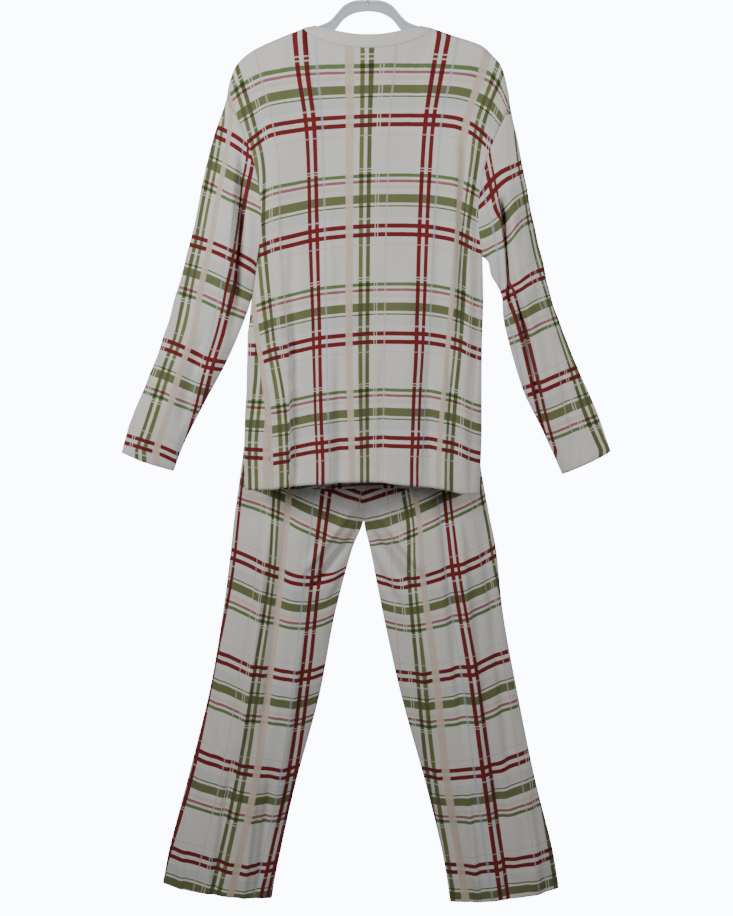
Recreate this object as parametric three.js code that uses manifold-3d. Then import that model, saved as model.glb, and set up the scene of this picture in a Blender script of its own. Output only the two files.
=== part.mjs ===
// Pyjama set: a long-sleeved jersey top on a clear plastic hanger, with its trousers pinned behind it.
// Millimetres, +Z up. The origin is where the hook hangs: the top of the inside of its curve.
// The back of the top faces -Y, and the trousers hang on the +Y side of the top's front.
import * as THREE from 'three';
import { mergeVertices } from 'three/addons/utils/BufferGeometryUtils.js';
import Module from 'manifold-3d';

// Cloth
const WALL = 1.8;
const BAND_WALL = 2.4;
const SEAM_GAP = 0.34;
const RING_SHARE = 0.7;
const CORNER_SHARE = 2.1;
const TURNING_SEAM = 0.8;

// Hanger
const HANGER_REACH = 180;
const HANGER_DEPTH = 7;
const HANGER_EDGE_ROUND = 1.6;
const ARCH_TOP = -70;
const HOOK_WIRE = 3.6;
const HOOK_RADIUS = 20;
const HOOK_SOCKET_DEPTH = 9;
const HOOK_SOCKET_BORE = 4.4;
const HOOK_STEM = 7;
const HOOK_START_DEGREES = -62;
const HOOK_END_DEGREES = 200;
const HOOK_STEP_DEGREES = 14;
const ARM_END_DROP = 5;
const ARM_SLOPE_DEGREES = 22;

// Top
const NECK_HALF_WIDTH = 96;
const NECK_POINT_Z = -110;
const BACK_NECK_Z = -137;
const FRONT_NECK_Z = -196;
const BACK_NECK_CURVE = 1.3;
const FRONT_NECK_CURVE = 2;
const NECK_STAND_OFF = 14;
const NECKBAND_WIDTH = 16;
const UNDERARM_LEFT = { x: -169, z: -447 };
const UNDERARM_RIGHT = { x: 175, z: -446 };
const SHOULDER_ROLL = 9;
const SHOULDER_DEPTH = 7.5;
const UNDERARM_DEPTH = 20;
const BACK_ARMHOLE_SCOOP = 25;
const FRONT_ARMHOLE_SCOOP = 32;
const ARMHOLE_BLUNTNESS = 0.8;
const SIDE_FULLNESS = 0.4;
const SEAM_TURN_BEGINS = 2;
const SEAM_TURN_SPREAD = 9;
const NECKBAND_LEAN = 2.2;
const SLEEVE_ROUNDNESS = 0.7;
const SLEEVE_SETTLES_BY = 0.2;
const SLEEVE_STRAIGHT_BY = 0.35;

// Trousers
const WAIST_SEAM_Z = -576;
const WAISTBAND_HEIGHT = 32;
const WAIST_HALF_WIDTH = 165;
const WAIST_HALF_DEPTH = 17;
const WAIST_GATHERS = 24;
const GATHER_DEPTH = 1.1;
const CENTRE_SEAM_X = -7;
const CROTCH_Z = -867;
const CROTCH_CURVE = 75;
const LEG_ROUNDNESS = 0.75;

// Safety pins
const PIN_LENGTH = 28;
const PIN_WIDTH = 6.5;
const PIN_WIRE = 1.3;
const PIN_SPACING = 60;
const PIN_CAP = 4;
const PIN_COIL = 5;

// Outline of the shoulders, from the armhole to the neck
const SHOULDER_LEFT = [
  { x: -212, z: -212 },
  { x: -209, z: -194 },
  { x: -200, z: -169 },
  { x: -188, z: -154 },
  { x: -170, z: -141 },
  { x: -142, z: -128 },
  { x: -NECK_HALF_WIDTH, z: NECK_POINT_Z },
];
const SHOULDER_RIGHT = [
  { x: NECK_HALF_WIDTH, z: NECK_POINT_Z },
  { x: 129, z: -121 },
  { x: 169, z: -134.5 },
  { x: 186, z: -149 },
  { x: 201, z: -168 },
  { x: 211, z: -205 },
  { x: 214, z: -226 },
];

// Body of the top below the underarm: its two edges, its half depth, and how far the left side
// seam has turned on to the back
const TOP_BODY = [
  { z: -447, left: -169, right: 175, depth: 20, seamTurn: 0 },
  { z: -480, left: -173, right: 176, depth: 22, seamTurn: 0 },
  { z: -515, left: -179, right: 177, depth: 24, seamTurn: 2 },
  { z: -570, left: -185, right: 176, depth: 25, seamTurn: 13 },
  { z: -633, left: -187, right: 176, depth: 26, seamTurn: 24 },
  { z: -726, left: -192, right: 177, depth: 28, seamTurn: 39 },
  { z: -812, left: -192, right: 174, depth: 30, seamTurn: 46 },
];

// Hem levels at fractions of the way across the back and the front
const BACK_HEM = [
  { across: 0, z: -801 },
  { across: 0.06, z: -797 },
  { across: 0.25, z: -791 },
  { across: 0.46, z: -788.5 },
  { across: 0.61, z: -792.5 },
  { across: 0.81, z: -800 },
  { across: 0.92, z: -809 },
  { across: 1, z: -810 },
];
const FRONT_HEM = [
  { across: 0, z: -801 },
  { across: 0.1, z: -806 },
  { across: 0.4, z: -808 },
  { across: 0.7, z: -807 },
  { across: 1, z: -810 },
];

// Sleeves: outer and inner edge of each section, and its half depth
const SLEEVE_LEFT = [
  { outX: -212, outZ: -212, inX: -169, inZ: -447, depth: 14 },
  { outX: -233, outZ: -272, inX: -175, inZ: -466, depth: 17 },
  { outX: -249, outZ: -334, inX: -181, inZ: -487, depth: 19 },
  { outX: -267, outZ: -412, inX: -187, inZ: -512, depth: 20 },
  { outX: -292, outZ: -498, inX: -194, inZ: -543, depth: 19 },
  { outX: -314, outZ: -568, inX: -216, inZ: -604, depth: 18 },
  { outX: -342, outZ: -639, inX: -253, inZ: -671, depth: 17 },
  { outX: -370, outZ: -702, inX: -283, inZ: -729, depth: 15 },
  { outX: -383, outZ: -746, inX: -302, inZ: -775, depth: 14 },
];
const SLEEVE_RIGHT = [
  { outX: 214, outZ: -226, inX: 175, inZ: -446, depth: 14 },
  { outX: 223, outZ: -263, inX: 184, inZ: -456, depth: 17 },
  { outX: 231, outZ: -300, inX: 187, inZ: -474, depth: 19 },
  { outX: 247, outZ: -376, inX: 196, inZ: -489, depth: 20 },
  { outX: 266, outZ: -451, inX: 204, inZ: -508, depth: 20 },
  { outX: 283, outZ: -516, inX: 209, inZ: -551, depth: 19 },
  { outX: 322, outZ: -612, inX: 237, inZ: -645, depth: 17 },
  { outX: 352, outZ: -678, inX: 268, inZ: -708, depth: 15 },
  { outX: 377, outZ: -744, inX: 302, inZ: -780, depth: 14 },
];

// Trousers: outer and inner edge of each leg, the half depth that the leg adds to the seat's, and
// how far the middle of the cloth hangs behind the hanger's plane
const LEG_LEFT = [
  { outX: -172, outZ: WAIST_SEAM_Z, inX: -7, inZ: WAIST_SEAM_Z, leg: 0, away: 43.2 },
  { outX: -186, outZ: -650, inX: -7, inZ: -650, leg: 2, away: 56 },
  { outX: -200, outZ: -751, inX: -7, inZ: -751, leg: 5, away: 64 },
  { outX: -209, outZ: -812, inX: -7, inZ: -812, leg: 9, away: 66 },
  { outX: -216, outZ: -858, inX: -7, inZ: CROTCH_Z, leg: 27, away: 66 },
  { outX: -223, outZ: -917, inX: -26, inZ: -917, leg: 29, away: 65 },
  { outX: -238, outZ: -1025, inX: -54, inZ: -1025, leg: 27, away: 63 },
  { outX: -261, outZ: -1151, inX: -79, inZ: -1157, leg: 25, away: 61 },
  { outX: -298, outZ: -1296, inX: -120, inZ: -1312, leg: 23, away: 60 },
  { outX: -331, outZ: -1417, inX: -148, inZ: -1440, leg: 22, away: 60 },
  { outX: -344, outZ: -1482, inX: -161, inZ: -1509, leg: 21, away: 60 },
];
const LEG_RIGHT = [
  { outX: 158, outZ: WAIST_SEAM_Z, inX: -7, inZ: WAIST_SEAM_Z, leg: 0, away: 43.2 },
  { outX: 167, outZ: -650, inX: -7, inZ: -650, leg: 2, away: 56 },
  { outX: 178, outZ: -751, inX: -7, inZ: -751, leg: 5, away: 64 },
  { outX: 188, outZ: -812, inX: -7, inZ: -812, leg: 9, away: 66 },
  { outX: 197, outZ: -858, inX: -7, inZ: CROTCH_Z, leg: 27, away: 66 },
  { outX: 209, outZ: -917, inX: 4, inZ: -917, leg: 29, away: 65 },
  { outX: 222, outZ: -1025, inX: 25, inZ: -1025, leg: 27, away: 63 },
  { outX: 247, outZ: -1155, inX: 54, inZ: -1157, leg: 25, away: 61 },
  { outX: 277, outZ: -1296, inX: 96, inZ: -1312, leg: 23, away: 60 },
  { outX: 308, outZ: -1417, inX: 124, inZ: -1430, leg: 22, away: 60 },
  { outX: 321, outZ: -1491, inX: 138, inZ: -1515, leg: 21, away: 60 },
];

// Half depth of the trousers at the centre seam, above the crotch
const SEAT_DEPTH = [
  { z: WAIST_SEAM_Z, depth: WAIST_HALF_DEPTH },
  { z: -650, depth: 24 },
  { z: -751, depth: 29 },
  { z: -867, depth: 30 },
];

// Large folds: where each begins and ends, its width to the left and right, and its height.
// A fold with a negative height is a valley.
const BACK_FOLDS = [
  { x0: -118, z0: -560, x1: -119, z1: -830, left: 34, right: 8, height: 9 },
  { x0: -66, z0: -640, x1: -70, z1: -830, left: 14, right: 16, height: 6 },
  { x0: 118, z0: -600, x1: 128, z1: -830, left: 10, right: 22, height: 9 },
  { x0: 60, z0: -500, x1: 70, z1: -830, left: 24, right: 24, height: 5 },
  { x0: 5, z0: -460, x1: 0, z1: -830, left: 26, right: 26, height: -5 },
  { x0: -150, z0: -190, x1: -120, z1: -470, left: 16, right: 18, height: 4 },
  { x0: 152, z0: -190, x1: 128, z1: -500, left: 18, right: 16, height: 4 },
  { x0: -90, z0: -230, x1: -60, z1: -600, left: 24, right: 24, height: -4 },
];
const FRONT_FOLDS = [
  { x0: -140, z0: -190, x1: -110, z1: -830, left: 22, right: 24, height: 5 },
  { x0: 142, z0: -190, x1: 120, z1: -830, left: 24, right: 22, height: 5 },
  { x0: -70, z0: -330, x1: -60, z1: -830, left: 22, right: 22, height: -4 },
  { x0: 74, z0: -360, x1: 62, z1: -830, left: 20, right: 20, height: -4 },
];
const SLEEVE_FOLDS = [
  { along0: 0.08, along1: 0.62, across: 0.46, width: 0.12, height: -7 },
  { along0: 0.3, along1: 0.7, across: 0.72, width: 0.12, height: 3 },
  { along0: 0.5, along1: 1.1, across: 0.55, width: 0.13, height: -4 },
];
const LEG_FOLDS = [
  { across0: 0.7, along0: 0.2, across1: 0.35, along1: 0.42, width: 0.13, height: -5 },
  { across0: 0.5, along0: 0.36, across1: 0.55, along1: 1.1, width: 0.16, height: 5 },
  { across0: 0.25, along0: 0.4, across1: 0.28, along1: 1.1, width: 0.12, height: -4 },
  { across0: 0.78, along0: 0.6, across1: 0.8, along1: 1.1, width: 0.1, height: -4 },
];

// Fractions of a fold's length over which it rises and fades, and where it has faded
const FOLD_RISE = 0.3;
const FOLD_FADE = 0.3;
const FOLD_END = 1.06;

// How finely each panel is divided
const ARMHOLE_ROWS = [0, 0.02, 0.06, 0.15, 0.26, 0.38, 0.5, 0.62, 0.74, 0.84, 0.92, 0.975, 1];
const SHOULDER_COLUMNS = [0, 0.06, 0.18, 0.38, 0.6, 0.82];
const NECK_COLUMNS = [0, 0.006, 0.045, 0.13, 0.25, 0.375, 0.5, 0.625, 0.75, 0.87, 0.955, 0.994];
const BODY_ROWS = 12;
const SLEEVE_SECTIONS = 16;
const LEG_COLUMNS = 9;
const SEAT_ROWS = 9;
const LEG_ROWS = 11;
const TURNED_COLUMNS = 2;
const LEG_EVENNESS = 0.45;
const NECKBAND_ROWS = [1, 0.5, 0];
const WAISTBAND_ROWS = [0, 0.5, 1];

const mix = (a, b, t) => a + (b - a) * t;
const clamp01 = (t) => Math.min(1, Math.max(0, t));
const smooth = (t) => clamp01(t) ** 2 * (3 - 2 * clamp01(t));

const fade = (along) => smooth(along / FOLD_RISE) * smooth((FOLD_END - along) / FOLD_FADE);
const bell = (off, width) => Math.exp(-((off / width) ** 2));

// Value of one column of a table at a place along it, on a smooth curve through its rows.
function read(table, key, column, place) {
  const rising = table[table.length - 1][key] > table[0][key];
  const ordered = rising ? table : [...table].reverse();
  const at = Math.min(Math.max(place, ordered[0][key]), ordered[ordered.length - 1][key]);
  let i = 0;
  while (i < ordered.length - 2 && ordered[i + 1][key] < at) i += 1;
  const slope = (j) => {
    const before = ordered[Math.max(j - 1, 0)];
    const after = ordered[Math.min(j + 1, ordered.length - 1)];
    return (after[column] - before[column]) / (after[key] - before[key]);
  };
  const start = ordered[i];
  const end = ordered[i + 1];
  const span = end[key] - start[key];
  const t = (at - start[key]) / span;
  const straight = mix(start[column], end[column], t);
  const rise = (end[column] - start[column]) / span;
  const bendIn = (slope(i) - rise) * span;
  const bendOut = (slope(i + 1) - rise) * span;
  return straight + t * (1 - t) * ((1 - t) * bendIn - t * bendOut);
}

// The same for a table whose rows are evenly spaced sections, at a fraction along it.
function readAlong(table, column, along) {
  const numbered = table.map((row, place) => ({ ...row, place }));
  return read(numbered, 'place', column, along * (table.length - 1));
}

// Height of the folds that pass a point: each is a soft ridge with its own width to each side,
// faded in at its start and, unless it runs off the cloth, out at its end.
function foldHeight(folds, x, z) {
  let total = 0;
  for (const fold of folds) {
    const along = (z - fold.z0) / (fold.z1 - fold.z0);
    const off = x - mix(fold.x0, fold.x1, clamp01(along));
    const width = off < 0 ? fold.left : fold.right;
    total += fold.height * bell(off, width) * fade(along);
  }
  return total;
}

// Top edge of the torso panels. The neckline dips like a flattened ellipse between the neck points.
const neckArc = (x) => Math.sqrt(clamp01(1 - (x / NECK_HALF_WIDTH) ** 2));
function neckline(x, lowest) {
  const steepness = lowest < BACK_NECK_Z ? FRONT_NECK_CURVE : BACK_NECK_CURVE;
  return mix(NECK_POINT_Z, lowest, neckArc(x) ** steepness);
}
function topEdge(x, lowest) {
  if (x <= -NECK_HALF_WIDTH) return read(SHOULDER_LEFT, 'x', 'z', x);
  if (x >= NECK_HALF_WIDTH) return read(SHOULDER_RIGHT, 'x', 'z', x);
  return neckline(x, lowest);
}

// Side edge of a torso panel above the underarm: the armhole, a straight line scooped inwards.
function armholeX(side, t, scoop) {
  const tip = side < 0 ? SHOULDER_LEFT[0] : SHOULDER_RIGHT[SHOULDER_RIGHT.length - 1];
  const under = side < 0 ? UNDERARM_LEFT : UNDERARM_RIGHT;
  return mix(tip.x, under.x, t) - side * scoop * Math.sin(Math.PI * t) ** ARMHOLE_BLUNTNESS;
}

// Half depth of the torso above the underarm. It rolls over the hanger at the shoulder, stands
// off at the neck, and closes to the side seam at the underarm.
function upperDepth(across, t, drop, topX) {
  const base = mix(SHOULDER_DEPTH, UNDERARM_DEPTH, t ** 0.8);
  const edge = (1 - across ** 2 * t ** 3) ** SIDE_FULLNESS;
  const atNeck = neckArc(topX) ** 0.4;
  const standOff = NECK_STAND_OFF * atNeck;
  const roll = Math.sqrt(1 - (1 - clamp01(drop / SHOULDER_ROLL)) ** 2);
  return standOff + (base * edge - standOff) * mix(roll, t ** 0.6, atNeck);
}

// Fractions across a torso panel, with a column at each neck point.
function torsoColumns() {
  const left = SHOULDER_LEFT[0].x;
  const right = SHOULDER_RIGHT[SHOULDER_RIGHT.length - 1].x;
  const neckLeft = (-NECK_HALF_WIDTH - left) / (right - left);
  const neckRight = (NECK_HALF_WIDTH - left) / (right - left);
  const rightShoulder = [...SHOULDER_COLUMNS.slice(1), 1].map((f) => 1 - f).reverse();
  return [
    ...SHOULDER_COLUMNS.map((f) => f * neckLeft),
    ...NECK_COLUMNS.map((f) => mix(neckLeft, neckRight, f)),
    ...rightShoulder.map((f) => mix(neckRight, 1, f)),
    1,
  ];
}

// Grid of points of the back (side -1) or the front (side 1) of the top.
function torsoGrid(side) {
  const scoop = side < 0 ? BACK_ARMHOLE_SCOOP : FRONT_ARMHOLE_SCOOP;
  const lowest = side < 0 ? BACK_NECK_Z : FRONT_NECK_Z;
  const folds = side < 0 ? BACK_FOLDS : FRONT_FOLDS;
  const hem = side < 0 ? BACK_HEM : FRONT_HEM;
  const columns = torsoColumns();
  const tipLeft = SHOULDER_LEFT[0].x;
  const tipRight = SHOULDER_RIGHT[SHOULDER_RIGHT.length - 1].x;
  const grid = [];
  for (const t of ARMHOLE_ROWS) {
    grid.push(columns.map((u) => {
      const topX = mix(tipLeft, tipRight, u);
      const topZ = topEdge(topX, lowest);
      const z = mix(topZ, mix(UNDERARM_LEFT.z, UNDERARM_RIGHT.z, u), t);
      const x = mix(armholeX(-1, t, scoop), armholeX(1, t, scoop), u);
      const across = 2 * u - 1;
      const ridge = foldHeight(folds, x, z) * Math.sqrt(1 - across ** 2);
      const depth = upperDepth(across, t, topZ - z, topX) + ridge;
      return new THREE.Vector3(x, side * depth, z);
    }));
  }
  for (let row = 1; row <= BODY_ROWS; row += 1) {
    const down = row / BODY_ROWS;
    grid.push(columns.map((u, i) => {
      const z = mix(mix(UNDERARM_LEFT.z, UNDERARM_RIGHT.z, u), read(hem, 'across', 'z', u), down);
      return bodyPoint(side, u, i / TURNED_COLUMNS, z, folds);
    }));
  }
  return grid;
}

// Point of the body of the top below the underarm. The left side seam has turned on to the back,
// so the front panel's first columns run on the back as far as the fold at the edge.
function bodyPoint(side, u, turned, z, folds) {
  const left = read(TOP_BODY, 'z', 'left', z);
  const right = read(TOP_BODY, 'z', 'right', z);
  const depth = read(TOP_BODY, 'z', 'depth', z);
  const turn = Math.max(read(TOP_BODY, 'z', 'seamTurn', z), 0);
  let x = mix(left + turn, right, u);
  let face = side;
  if (side > 0) {
    const spread = mix(left - turn, right, u);
    const edgeShare = torsoColumns()[TURNED_COLUMNS];
    const held = turned < 1 ? left - turn * (1 - turned) : mix(left, right, (u - edgeShare) / (1 - edgeShare));
    x = mix(spread, held, smooth((turn - SEAM_TURN_BEGINS) / SEAM_TURN_SPREAD));
    if (x < left) {
      face = -1;
      x = 2 * left - x;
    }
  }
  const across = clamp01((x - left) / (right - left)) * 2 - 1;
  const ridge = foldHeight(face < 0 ? BACK_FOLDS : folds, x, z) * Math.sqrt(1 - across ** 2);
  return new THREE.Vector3(x, face * (depth * (1 - across ** 2) ** SIDE_FULLNESS + ridge), z);
}

// Grid of a sleeve: each row is a ring that runs from the outer edge over the back to the inner
// edge, and home over the front. The first ring is the armhole itself.
function sleeveGrid(side, table, backGrid, frontGrid) {
  const column = side < 0 ? 0 : backGrid[0].length - 1;
  const count = ARMHOLE_ROWS.length - 1;
  const armhole = [];
  for (let i = 0; i <= count; i += 1) armhole.push(backGrid[i][column].clone());
  for (let i = count - 1; i > 0; i -= 1) armhole.push(frontGrid[i][column].clone());
  const grid = [armhole];
  for (let section = 1; section <= SLEEVE_SECTIONS; section += 1) {
    const along = section / SLEEVE_SECTIONS;
    const settle = smooth(along / SLEEVE_SETTLES_BY);
    const value = (name) => readAlong(table, name, along);
    grid.push(armhole.map((start, i) => {
      const face = i <= count ? -1 : 1;
      const step = i <= count ? i : 2 * count - i;
      const even = (1 - Math.cos((Math.PI * step) / count)) / 2;
      const t = mix(ARMHOLE_ROWS[step], even, settle);
      const scoop = face < 0 ? BACK_ARMHOLE_SCOOP : FRONT_ARMHOLE_SCOOP;
      const fading = 1 - smooth(along / SLEEVE_STRAIGHT_BY);
      const bow = -side * scoop * fading * Math.sin(Math.PI * t) ** ARMHOLE_BLUNTNESS;
      const x = mix(value('outX'), value('inX'), t) + bow;
      const z = mix(value('outZ'), value('inZ'), t);
      const round = Math.sin(Math.PI * t) ** SLEEVE_ROUNDNESS;
      const full = value('depth') * round + sleeveFolds(along, t) * round;
      return new THREE.Vector3(x, face * mix(Math.abs(start.y), full, settle), z);
    }));
  }
  return grid;
}

// Height of the lengthwise folds of a sleeve at a fraction along it and across it.
function sleeveFolds(along, across) {
  let total = 0;
  for (const fold of SLEEVE_FOLDS) {
    const place = (along - fold.along0) / (fold.along1 - fold.along0);
    total += fold.height * bell(across - fold.across, fold.width) * fade(place);
  }
  return total;
}

// Height of the folds of a leg panel at a fraction across it and along it.
function legFolds(across, along) {
  let total = 0;
  for (const fold of LEG_FOLDS) {
    const place = (along - fold.along0) / (fold.along1 - fold.along0);
    const middle = mix(fold.across0, fold.across1, clamp01(place));
    total += fold.height * bell(across - middle, fold.width) * fade(place);
  }
  return total;
}

// Grid of one leg panel, columns from the side seam to the centre seam and the inseam. The centre
// seam comes down the seat, curves under and meets the other three panels at the crotch.
function legGrid(table, face) {
  const crotchAlong = table.findIndex((row) => row.inZ === CROTCH_Z) / (table.length - 1);
  const stations = [];
  for (let row = 0; row < SEAT_ROWS; row += 1) stations.push((crotchAlong * row) / SEAT_ROWS);
  for (let row = 0; row <= LEG_ROWS; row += 1) stations.push(mix(crotchAlong, 1, row / LEG_ROWS));
  return stations.map((along) => {
    const value = (name) => readAlong(table, name, along);
    const row = [];
    for (let column = 0; column <= LEG_COLUMNS; column += 1) {
      const u = (1 - Math.cos((Math.PI * column) / LEG_COLUMNS)) / 2;
      const across = mix(u, column / LEG_COLUMNS, LEG_EVENNESS);
      const innerX = along < crotchAlong ? CENTRE_SEAM_X : value('inX');
      const innerZ = along < crotchAlong ? Math.max(value('inZ'), CROTCH_Z) : value('inZ');
      const under = clamp01((CROTCH_Z + CROTCH_CURVE - innerZ) / CROTCH_CURVE);
      const curve = along < crotchAlong ? Math.sqrt(1 - under ** 2) : 0;
      const seatFull = along < crotchAlong ? Math.max(read(SEAT_DEPTH, 'z', 'depth', innerZ), 0) : 0;
      const seat = seatFull * curve * (1 - (1 - across) ** 2) ** SIDE_FULLNESS;
      const round = Math.sin(Math.PI * across) ** LEG_ROUNDNESS;
      const leg = (value('leg') + legFolds(across, along)) * (across < 1 ? round : 0);
      const x = mix(value('outX'), innerX, across);
      const z = mix(value('outZ'), innerZ, across);
      row.push(new THREE.Vector3(x, value('away') + face * (seat + leg), z));
    }
    return row;
  });
}

// Every cloth panel, with the way its rows turn: 1 where column by row points outwards.
const cloth = [];
function addCloth(name, grid, { turn, closed = false, wall = WALL, seams }) {
  cloth.push({ name, grid, turn, closed, wall, seams });
}

// Seams of a grid: a stretch of one row or of one column, with the step that leads into the cloth.
const rowSeam = (row, from, to, inward) => ({
  cells: Array.from({ length: to - from + 1 }, (_, i) => [row, from + i]),
  inward: [inward, 0],
  ring: false,
  corners: [0, to - from],
});
const columnSeam = (column, from, to, inward) => ({
  cells: Array.from({ length: to - from + 1 }, (_, i) => [from + i, column]),
  inward: [0, inward],
  ring: false,
  corners: [0, to - from],
});
const ringSeam = (row, count, inward) => ({
  ...rowSeam(row, 0, count - 1, inward),
  ring: true,
  corners: [0, count / 2],
});

const keyOf = (p) => [p.x, p.y, p.z].map((value) => Math.round(value * 20)).join(' ');

// Outward normals at the grid points, shared by panels that meet along a seam.
function sharedNormals() {
  const sums = new Map();
  for (const panel of cloth) {
    forEachQuad(panel, (a, b, c, d) => {
      const normal = new THREE.Vector3().subVectors(c, a);
      normal.cross(new THREE.Vector3().subVectors(d, b)).multiplyScalar(panel.turn);
      if (normal.length() > 0) normal.normalize();
      for (const corner of [a, b, c, d]) {
        const key = keyOf(corner);
        if (!sums.has(key)) sums.set(key, new THREE.Vector3());
        sums.get(key).add(normal);
      }
    });
  }
  for (const normal of sums.values()) normal.normalize();
  return sums;
}
function forEachQuad({ grid, closed }, visit) {
  const columns = grid[0].length;
  const last = closed ? columns : columns - 1;
  for (let r = 0; r + 1 < grid.length; r += 1) {
    for (let c = 0; c < last; c += 1) {
      const next = (c + 1) % columns;
      visit(grid[r][c], grid[r][next], grid[r + 1][next], grid[r + 1][c], r, c, next);
    }
  }
}

// Moves the cells of a seam into the cloth by half the gap, square to the seam and in the plane of
// the cloth, so that both sides of the seam part evenly. At the seam's ends and corners, where the
// cloth may turn as at an underarm, it moves the cell straight towards its neighbour inside.
function partSeam(outer, grid, normals, { cells, inward, ring, corners }) {
  const count = cells.length;
  const pointAt = (i) => grid[cells[i][0]][cells[i][1]];
  cells.forEach(([r, c], i) => {
    const before = ring ? pointAt((i + count - 1) % count) : pointAt(Math.max(i - 1, 0));
    const after = ring ? pointAt((i + 1) % count) : pointAt(Math.min(i + 1, count - 1));
    const seam = new THREE.Vector3().subVectors(after, before).normalize();
    const inside = new THREE.Vector3().subVectors(grid[r + inward[0]][c + inward[1]], grid[r][c]);
    let way = new THREE.Vector3().crossVectors(normals.get(keyOf(grid[r][c])), seam).normalize();
    if (corners.includes(i) && Math.abs(way.dot(inside)) < TURNING_SEAM * inside.length()) {
      way = inside.clone().addScaledVector(seam, -inside.dot(seam)).normalize();
    }
    const share = (ring ? RING_SHARE : 0.5) * (corners.includes(i) ? CORNER_SHARE : 1);
    outer[r][c].addScaledVector(way, Math.sign(way.dot(inside)) * share * SEAM_GAP);
  });
}

// Closed wall of a panel: its outer face is the grid, its inner face lies one wall inside.
function clothWall(panel, normals) {
  const { grid, closed, wall, seams, turn } = panel;
  const rows = grid.length;
  const columns = grid[0].length;
  const outer = grid.map((row) => row.map((point) => point.clone()));
  for (const seam of seams) partSeam(outer, grid, normals, seam);
  const inner = outer.map((row, r) => row.map((point, c) => (
    point.clone().addScaledVector(normals.get(keyOf(grid[r][c])), -wall)
  )));
  const positions = [];
  for (const row of [...outer, ...inner]) for (const point of row) positions.push(point.x, point.y, point.z);
  const outerAt = (r, c) => r * columns + c;
  const innerAt = (r, c) => rows * columns + r * columns + c;
  const faces = [];
  const quad = (a, b, c, d) => {
    if (turn > 0) faces.push(a, b, c, a, c, d);
    else faces.push(a, c, b, a, d, c);
  };
  forEachQuad(panel, (a, b, c, d, r, left, right) => {
    const face = [outerAt(r, left), outerAt(r, right), outerAt(r + 1, right), outerAt(r + 1, left)];
    const back = [innerAt(r, left), innerAt(r + 1, left), innerAt(r + 1, right), innerAt(r, right)];
    const splitOther = a.distanceTo(c) > b.distanceTo(d);
    if (splitOther) for (const side of [face, back]) side.push(side.shift());
    quad(...face);
    quad(...back);
  });
  const pointOf = (i) => new THREE.Vector3().fromArray(positions, 3 * i);
  const edgeStrip = (...corners) => {
    const [a, b, c, d] = corners.map(pointOf);
    if (a.distanceTo(c) > b.distanceTo(d)) corners.push(corners.shift());
    quad(...corners);
  };
  const span = closed ? columns : columns - 1;
  const bottom = rows - 1;
  const end = columns - 1;
  for (let c = 0; c < span; c += 1) {
    const next = (c + 1) % columns;
    edgeStrip(outerAt(0, next), outerAt(0, c), innerAt(0, c), innerAt(0, next));
    edgeStrip(outerAt(bottom, c), outerAt(bottom, next), innerAt(bottom, next), innerAt(bottom, c));
  }
  for (let r = 0; r < bottom && !closed; r += 1) {
    edgeStrip(outerAt(r, 0), outerAt(r + 1, 0), innerAt(r + 1, 0), innerAt(r, 0));
    edgeStrip(outerAt(r + 1, end), outerAt(r, end), innerAt(r, end), innerAt(r + 1, end));
  }
  const geometry = new THREE.BufferGeometry();
  geometry.setAttribute('position', new THREE.Float32BufferAttribute(positions, 3));
  geometry.setIndex(faces);
  geometry.computeVertexNormals();
  return geometry;
}

// Neckband: from the neckline, along the back, round the right neck point, along the front and
// home, it stands up towards the middle of the opening.
function neckbandGrid(backGrid, frontGrid) {
  const first = SHOULDER_COLUMNS.length;
  const last = first + NECK_COLUMNS.length;
  const lower = [];
  for (let c = first; c <= last; c += 1) lower.push(backGrid[0][c].clone());
  for (let c = last - 1; c > first; c -= 1) lower.push(frontGrid[0][c].clone());
  const slopeOfArm = THREE.MathUtils.degToRad(ARM_SLOPE_DEGREES);
  return NECKBAND_ROWS.map((rise) => lower.map((point) => {
    const sideways = Math.abs(point.x / NECK_HALF_WIDTH) ** NECKBAND_LEAN;
    const inward = -Math.sign(point.x) * sideways * Math.cos(slopeOfArm);
    const upward = mix(1, Math.sin(slopeOfArm), sideways ** 2);
    const way = new THREE.Vector3(inward, 0, upward).normalize();
    return point.clone().addScaledVector(way, NECKBAND_WIDTH * rise);
  }));
}

// Waistband: an oval ring of elastic casing, gathered into small upright waves.
function waistbandGrid() {
  const steps = WAIST_GATHERS * 4;
  const away = readAlong(LEG_LEFT, 'away', 0);
  return WAISTBAND_ROWS.map((down) => {
    const ring = [];
    for (let i = 0; i < steps; i += 1) {
      const angle = (2 * Math.PI * i) / steps;
      const ease = down > 0 && down < 1 ? 1 : 0;
      const wave = GATHER_DEPTH * ease * Math.cos(angle * WAIST_GATHERS);
      const cos = Math.cos(angle);
      const sin = Math.sin(angle);
      const x = CENTRE_SEAM_X + (WAIST_HALF_WIDTH + wave) * cos;
      const y = away + (WAIST_HALF_DEPTH + wave) * Math.sign(sin) * Math.abs(sin) ** (2 * SIDE_FULLNESS);
      ring.push(new THREE.Vector3(x, y, WAIST_SEAM_Z + (1 - down) * WAISTBAND_HEIGHT));
    }
    return ring;
  });
}

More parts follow.
